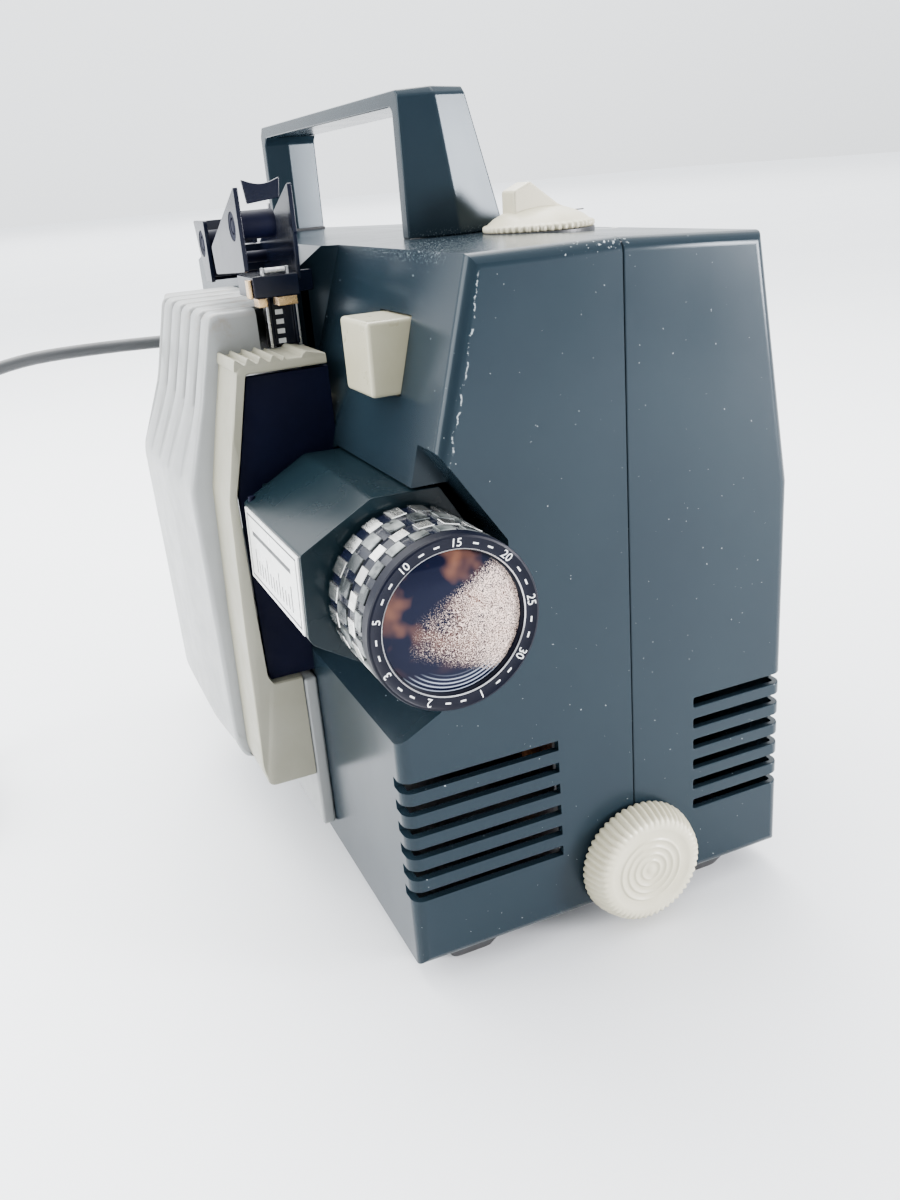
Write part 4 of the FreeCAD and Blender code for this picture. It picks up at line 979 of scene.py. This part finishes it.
def knurled(name, node, phase):
    """A ring with two staggered rows of raised facets, one of them rubbed bright."""
    low, high = span(node)
    y_low, y_high = low.y, high.y
    rows, per_row, facet_share = 2, 21, 0.31
    inner, base = 19.08, RING_R - 0.8
    bm = bmesh.new()
    profile = [(inner, y_low), (base - 0.5, y_low), (base, y_low + 0.5), (base, y_high - 0.5),
               (base - 0.5, y_high), (inner, y_high)]
    turned(bm, profile, AXIS, "y", 96, closed=True)
    pitch = (y_high - y_low - 0.8) / rows
    half = tau / per_row * facet_share
    for row in range(rows):
        start = y_low + 0.4 + pitch * row + 0.35
        end = start + pitch - 0.7
        for i in range(per_row):
            mid = tau * (i + 0.5 * (row % 2) + phase) / per_row
            rings = []
            for reach, inset, shrink in (((base - 0.2) / cos(half), 0, 1.0),
                                         (RING_R - 0.18, 0, 1.0), (RING_R - 0.02, 0.18, 0.95)):
                ring = []
                for y, side in ((start + inset, -1), (start + inset, 1), (end - inset, 1),
                                (end - inset, -1)):
                    x, z = off_axis(reach, mid + side * half * shrink)
                    ring.append((x, y, z))
                rings.append(ring)
            loft(bm, rings, 2 if row % 2 else 1)
    piece(name, bm, [BLACK, DARK_FACET, SILVER], node, angle=20, cad=node, slot="ring_black")


def lens():
    knurled("zoom_grip", "zoom_ring", 0.0)
    knurled("focus_grip", "focus_ring", 0.3)
    front = span("front_bezel")[0].y
    nose = (AXIS.x, front, AXIS.z)
    rim = [
        (19.85, 4.9), (RING_R - 0.35, 4.9), (RING_R, 4.4), (RING_R, 0.7), (RING_R - 0.25, 0.2),
        (RING_R - 0.8, 0), (RING_R - 1.1, 0.15), (21.1, 0.55), (20.75, 0.5), (20.5, 0.7),
        (20.35, 1.7), (20.0, 2.0), (19.85, 2.6),
    ]
    lathe("bezel", rim, nose, "y", 128, BEZEL_BLACK, "focus_ring", closed=True, angle=24,
          cad="front_bezel")
    rim = [(20.35, 0.75), (20.62, 0.45), (20.8, 0.62), (20.5, 1.1)]
    lathe("bezel_inner_rim", rim, nose, "y", 128, STEEL, "focus_ring", closed=True)
    bezel_print(front)
    steps, curve, edge, vertex = 14, 95.0, 19.8, 0.5
    dome = [(0.05, vertex)]
    for i in range(1, steps + 1):
        r = edge * sin(pi / 2 * i / steps)
        dome.append((r, vertex + curve - sqrt(curve ** 2 - r * r)))
    dome += [(edge, 5.5), (0.05, 5.5)]
    lathe("front_element", dome, nose, "y", 96, GLASS, "focus_ring", angle=50,
          cad="front_glass", slot="lens_glass")
    bm = bmesh.new()
    tube = [(15.6, -10.9), (18.95, -10.9), (18.95, 69.9), (15.6, 69.9)]
    turned(bm, tube, AXIS, "y", 96, closed=True)
    for i in range(9):
        y = 16 + 5 * i
        turned(bm, [(15.7, y), (15.1, y + 0.3), (15.1, y + 0.6), (15.7, y + 0.9)], AXIS, "y", 64,
               closed=True)
    piece("barrel", bm, ANODISED, "lens_barrel", angle=30, cad="lens_tube")


def bezel_print(front):
    """Generic focal-length figures and dashes round the bezel."""
    marks = bmesh.new()
    labels = ["15", "20", "25", "30", "1", "2", "3", "5", "10"]
    count = 18
    radius = 22.3
    for i in range(count):
        angle = tau * (i + 0.25) / count
        centre_x, centre_z = off_axis(radius, angle)
        if i % 2 == 0:
            data = bpy.data.curves.new("figure", "FONT")
            data.body = labels[i // 2]
            data.size = 3.3
            data.align_x = data.align_y = "CENTER"
            data.extrude = 0.03
            source = placed("figure", data)
            figure = baked(source)
            turn = Matrix.Rotation(angle, 3, "Y")
            for vertex in figure.vertices:
                spot = turn @ Vector((vertex.co.x, -vertex.co.z, vertex.co.y))
                x, z = centre_x + spot.x, centre_z + spot.z
                sunk = 0.15 + max(0, 23.5 - hypot(x - AXIS.x, z - AXIS.z)) / 6
                vertex.co = at(x, front + sunk - 0.05 + spot.y, z)
            marks.from_mesh(figure)
            bpy.data.objects.remove(source)
        else:
            for shift in (-0.1, 0.1):
                a = angle + shift
                ring = [off_axis(radius + out, a + side)
                        for out, side in ((-0.22, -0.035), (0.22, -0.035), (0.22, 0.035),
                                          (-0.22, 0.035))]
                solid(marks, ring, "y", front + 0.28, front + 0.5)
    piece("bezel_figures", marks, WHITE_PRINT, "focus_ring", smooth=False)


# ---- controls

def key():
    low, high = span("function_key")
    bm = bmesh.new()
    z0, z1 = low.z + 0.05, high.z - 0.05
    loft(bm, [[(out, front, z), (high.x, front, z), (high.x, back, z), (out, back, z)]
              for z, out, front, back in ((z0, low.x, 32.6, 55.4), (z1, low.x + 0.7, 33.2, 57.8))])
    piece("press_key", bm, PALE_KEY, "function_key", 1.3, 4, 30, cad="function_key",
          slot="cream_plastic")


RIB_STEPS = 8


def ribbed(depth, start, full, fade=99, end=100):
    """A wave for turned: rounded ribs that grow with the radius and fade out with height."""
    def wave(i, r, h):
        deep = depth * smoothstep(start, full, r) * (1 - smoothstep(fade, end, h))
        return 1 - deep * (0.5 - 0.5 * cos(tau * i / RIB_STEPS)) ** 1.5 / r
    return wave


def tilt_knob():
    low, high = span("tilt_knob")
    face = middle("tilt_knob")
    face.y = low.y
    radius, deep, ribs = (high.x - low.x) / 2, high.y - low.y, 52
    profile = [
        (0.1, deep), (radius - 1.4, deep), (radius - 0.3, deep - 0.3), (radius, deep - 0.9),
        (radius, deep - 2.2), (radius - 0.5, deep - 4.5), (19.2, 1.7), (18.5, 0.6), (17.4, 0.12),
        (16.2, 0), (15.2, 0), (14.6, 0.12), (13.9, 0.4),
    ]
    for r in (11.0, 8.4, 5.9, 3.4):
        profile += [(r + 0.9, 0.55), (r + 0.45, 0.5), (r + 0.2, 0.15), (r - 0.2, 0.15),
                    (r - 0.45, 0.5)]
    profile += [(1.4, 0.5), (1.0, 0.2), (0.1, 0.2)]
    lathe("ribbed_knob", profile, face, "y", ribs * RIB_STEPS, CREAM, "tilt_drive", angle=60,
          wave=ribbed(0.9, 15.2, 17.5), cad="tilt_knob", slot="cream_plastic")


def dial():
    low, high = span("selector_dial")
    centre = middle("selector_dial")
    centre.z = low.z
    radius = (high.x - low.x) / 2
    ribs = 48
    dome = [(0.1, -0.1), (radius - 0.9, -0.1), (radius - 0.4, 0.3), (radius - 0.4, 1.5),
            (radius - 0.9, 1.9), (radius - 1.8, 2.1), (radius - 2.3, 2.5), (radius - 4, 3.8),
            (radius - 7, 5.3), (radius - 10, 6.3), (radius - 14, 7), (0.1, 7.2)]
    lathe("selector_disc", dome, centre, "z", ribs * RIB_STEPS, CREAM, "selector", angle=50,
          wave=ribbed(0.7, radius - 1.8, radius - 0.6, 2.0, 3.2), cad="selector_dial",
          slot="cream_plastic")
    bm = bmesh.new()
    x, y, z = centre
    side = moved(x, z, (-10.8, 0.9), (-10.6, 12.2), (-4.6, 14.8), (5.2, 7.4), (13.2, 3.6),
                 (13.8, 0.9))
    solid(bm, side, "y", y - 4.6, y + 4.6)
    piece("selector_grip", bm, CREAM, "selector", 0.7, 3, 20)
    blocks("selector_pointer", [((x + 12.2, y - 0.45, z + 4.5), (x + 17, y + 0.45, z + 4.9))],
           DARK_PRINT, "selector")
    seat = [(3.3, -6), (radius - 0.4, -6), (radius - 0.4, -0.2), (3.3, -0.2)]
    lathe("selector_seat", seat, centre, "z", 72, SATIN_BLACK, "casing", 0.2, closed=True)


# ---- reel arms and film guide

def arm_channel(side, outlines, roof, back):
    """Two cheeks joined by a sloping roof and a back wall."""
    low, high = span(f"{side}_reel_arm")
    wall = 1.5
    bm = bmesh.new()
    for outline, x in zip(outlines, (low.x, high.x - wall)):
        solid(bm, rounded(outline, 1.2, 3), "x", x, x + wall)
    for outline in (roof, back):
        solid(bm, outline, "x", low.x + 0.2, high.x - 0.2)
    channel = piece(f"{side}_arm_channel", bm, BLACK, f"{side}_arm",
                    cad=f"{side}_reel_arm", slot="black_plastic")
    hub_low, hub_high = span(f"{side}_spindle_bush")
    hub = (0, *middle(f"{side}_spindle_bush").yz)
    radius = (hub_high.z - hub_low.z) / 2 + 0.12
    drilled(channel, radius, hub, "x", low.x - 2, low.x + wall + 0.15)
    return channel


def front_arm():
    """The front arm: a long tapering channel with a saddle lip and a hole in its roof."""
    low, high = span("front_reel_arm")
    y, z = low.y, high.z - 1.8
    tail = (0, 0), (46, -19), (44, -28.5)
    left = moved(y, z, (0, -26), *tail)
    right = moved(y, z, (2.2, -30.5), (0.6, -15.8), (0, -15.2), *tail)
    back = moved(y, z, (43.9, -28.3), (45.4, -19), (43.6, -19.4), (42.4, -28.3))
    roof = moved(y, z, (0.2, -1.6), (0.2, 0), (45.6, -18.9), (44.6, -20))
    split, slope = 20.5, 19 / 46
    channel = arm_channel("front", (left, right), roof, back)
    drilled(channel, 2, (-70.8, y + split, z - split * slope), "z", -5, 5)
    round_edges(channel, 0.3, 2, 25)
    bm = bmesh.new()
    x0, x1 = -77.6, -65.2
    saddle = [(x0 + 1, z - 5.6), (x1 - 0.6, z - 4.4), (x1, z + 1.75)]
    for i in range(1, 12):
        t = i / 12
        saddle.append((x1 + (x0 - x1) * t, z + 1.75 - 1.6 * sin(pi * t)))
    saddle.append((x0, z + 1.75))
    solid(bm, saddle, "y", y, y + 1.5)
    piece("front_arm_saddle", bm, BLACK, "front_arm", 0.35, 3, 25)
    pin = [(0.1, 0), (0.45, 0), (0.45, 7.5), (0.1, 7.5)]
    lathe("front_arm_catch", pin, (-66.6, y + 12, z - 13.5), "z", 12, STEEL, "front_arm", angle=40)
    spindle("front")


def rear_arm():
    """The rear arm: a short channel that tapers towards its foot."""
    low, high = span("rear_reel_arm")
    y, z, long = low.y, high.z, high.y - low.y
    side = moved(y, z, (0, -21.5), (0, 0), (long, 0), (long - 8.5, -21.5))
    roof = moved(y, z, (0.2, -1.6), (0.2, 0), (long - 0.2, 0), (long - 0.8, -1.6))
    back = moved(y + long, z, (-8.7, -21.3), (-0.3, -0.3), (-2, -0.3), (-10.6, -21.3))
    round_edges(arm_channel("rear", (side, side), roof, back), 0.3, 2, 25)
    spindle("rear")


def spindle(side):
    """The telescopic bush in the arm's cheek, and the splined spindle that turns in it."""
    refined(f"{side}_spindle_bush", NAVY_SHADE_BLACK, f"{side}_bush", 0.25)
    low = span(f"{side}_spindle")[0]
    y, z = middle(f"{side}_spindle").yz
    bm = bmesh.new()
    profile = [(0.1, 0), (1.9, 0), (2.5, 0.6), (2.58, 13.4), (2.2, 13.7), (0.1, 13.8)]
    turned(bm, profile, (low.x, y, z), "x", 32)
    for i in range(3):
        a = tau * i / 3 + 0.35
        spline_y, spline_z = y + 2.2 * cos(a), z + 2.2 * sin(a)
        box(bm, (low.x + 0.8, spline_y - 0.35, spline_z - 0.35),
            (low.x + 4, spline_y + 0.35, spline_z + 0.35))
    piece(f"{side}_spindle_splined", bm, NAVY_SHADE_BLACK, f"{side}_spindle", 0.1,
          cad=f"{side}_spindle")


def film_guide():
    refined("guide_block", BLACK, "casing", 0.5)
    refined("brass_guides", BRASS, "casing", 0.35)
    refined("arm_pins", NAVY_SHADE_BLACK, "casing", 0.3)
    low, high = span("guide_block")
    bm = bmesh.new()
    roller = [(0.1, 0), (0.8, 0), (1.0, 0.2), (1.0, 6.9), (0.8, 7.1), (0.1, 7.1)]
    turned(bm, roller, (-73.6, low.y + 1.4, high.z + 1.3), "x", 24)
    for x in (-74.6, -66.3):
        box(bm, (x, low.y + 0.4, high.z - 0.3), (x + 0.8, low.y + 2.6, high.z + 2.4))
    piece("film_roller", bm, STEEL, "casing", 0.1)


# ---- inside

PLAIN_NODES = (
    (TIN, "chassis_plate heat_shield lamp_bracket"),
    (INNER, "shaft_posts cooling_fan"),
    (STEEL, "motor motor_shaft shutter_shaft transformer_core selector_shaft tilt_shaft"),
    (ANODISED, "motor_pulley shutter_disc"),
    (BEIGE, "shutter_pulley lamp_socket rotary_switch tilt_pinion"),
    (INNER_GLASS, "halogen_bulb heat_glass rear_glass"),
    (RUBBER, "drive_belt"),
    (MIRROR, "lamp_reflector"),
    (COPPER, "transformer_coil"),
    (SATIN_BLACK, "tilt_foot"),
)


def inner_parts():
    """CAD nodes whose shape is right keep it, with a material of their own."""
    for material, names in PLAIN_NODES:
        for node in names.split():
            mesh = nodes[node].data
            mesh.materials.clear()
            mesh.materials.append(material)
            for polygon in mesh.polygons:
                polygon.material_index = 0


for build in (camera, studio, mains_cord, shells, seam_shadow, feet, grille, handle, top_marks,
              film_cover, film_parts, sprockets, lens_block, lens, key, tilt_knob, dial, front_arm,
              rear_arm, film_guide, inner_parts):
    build()
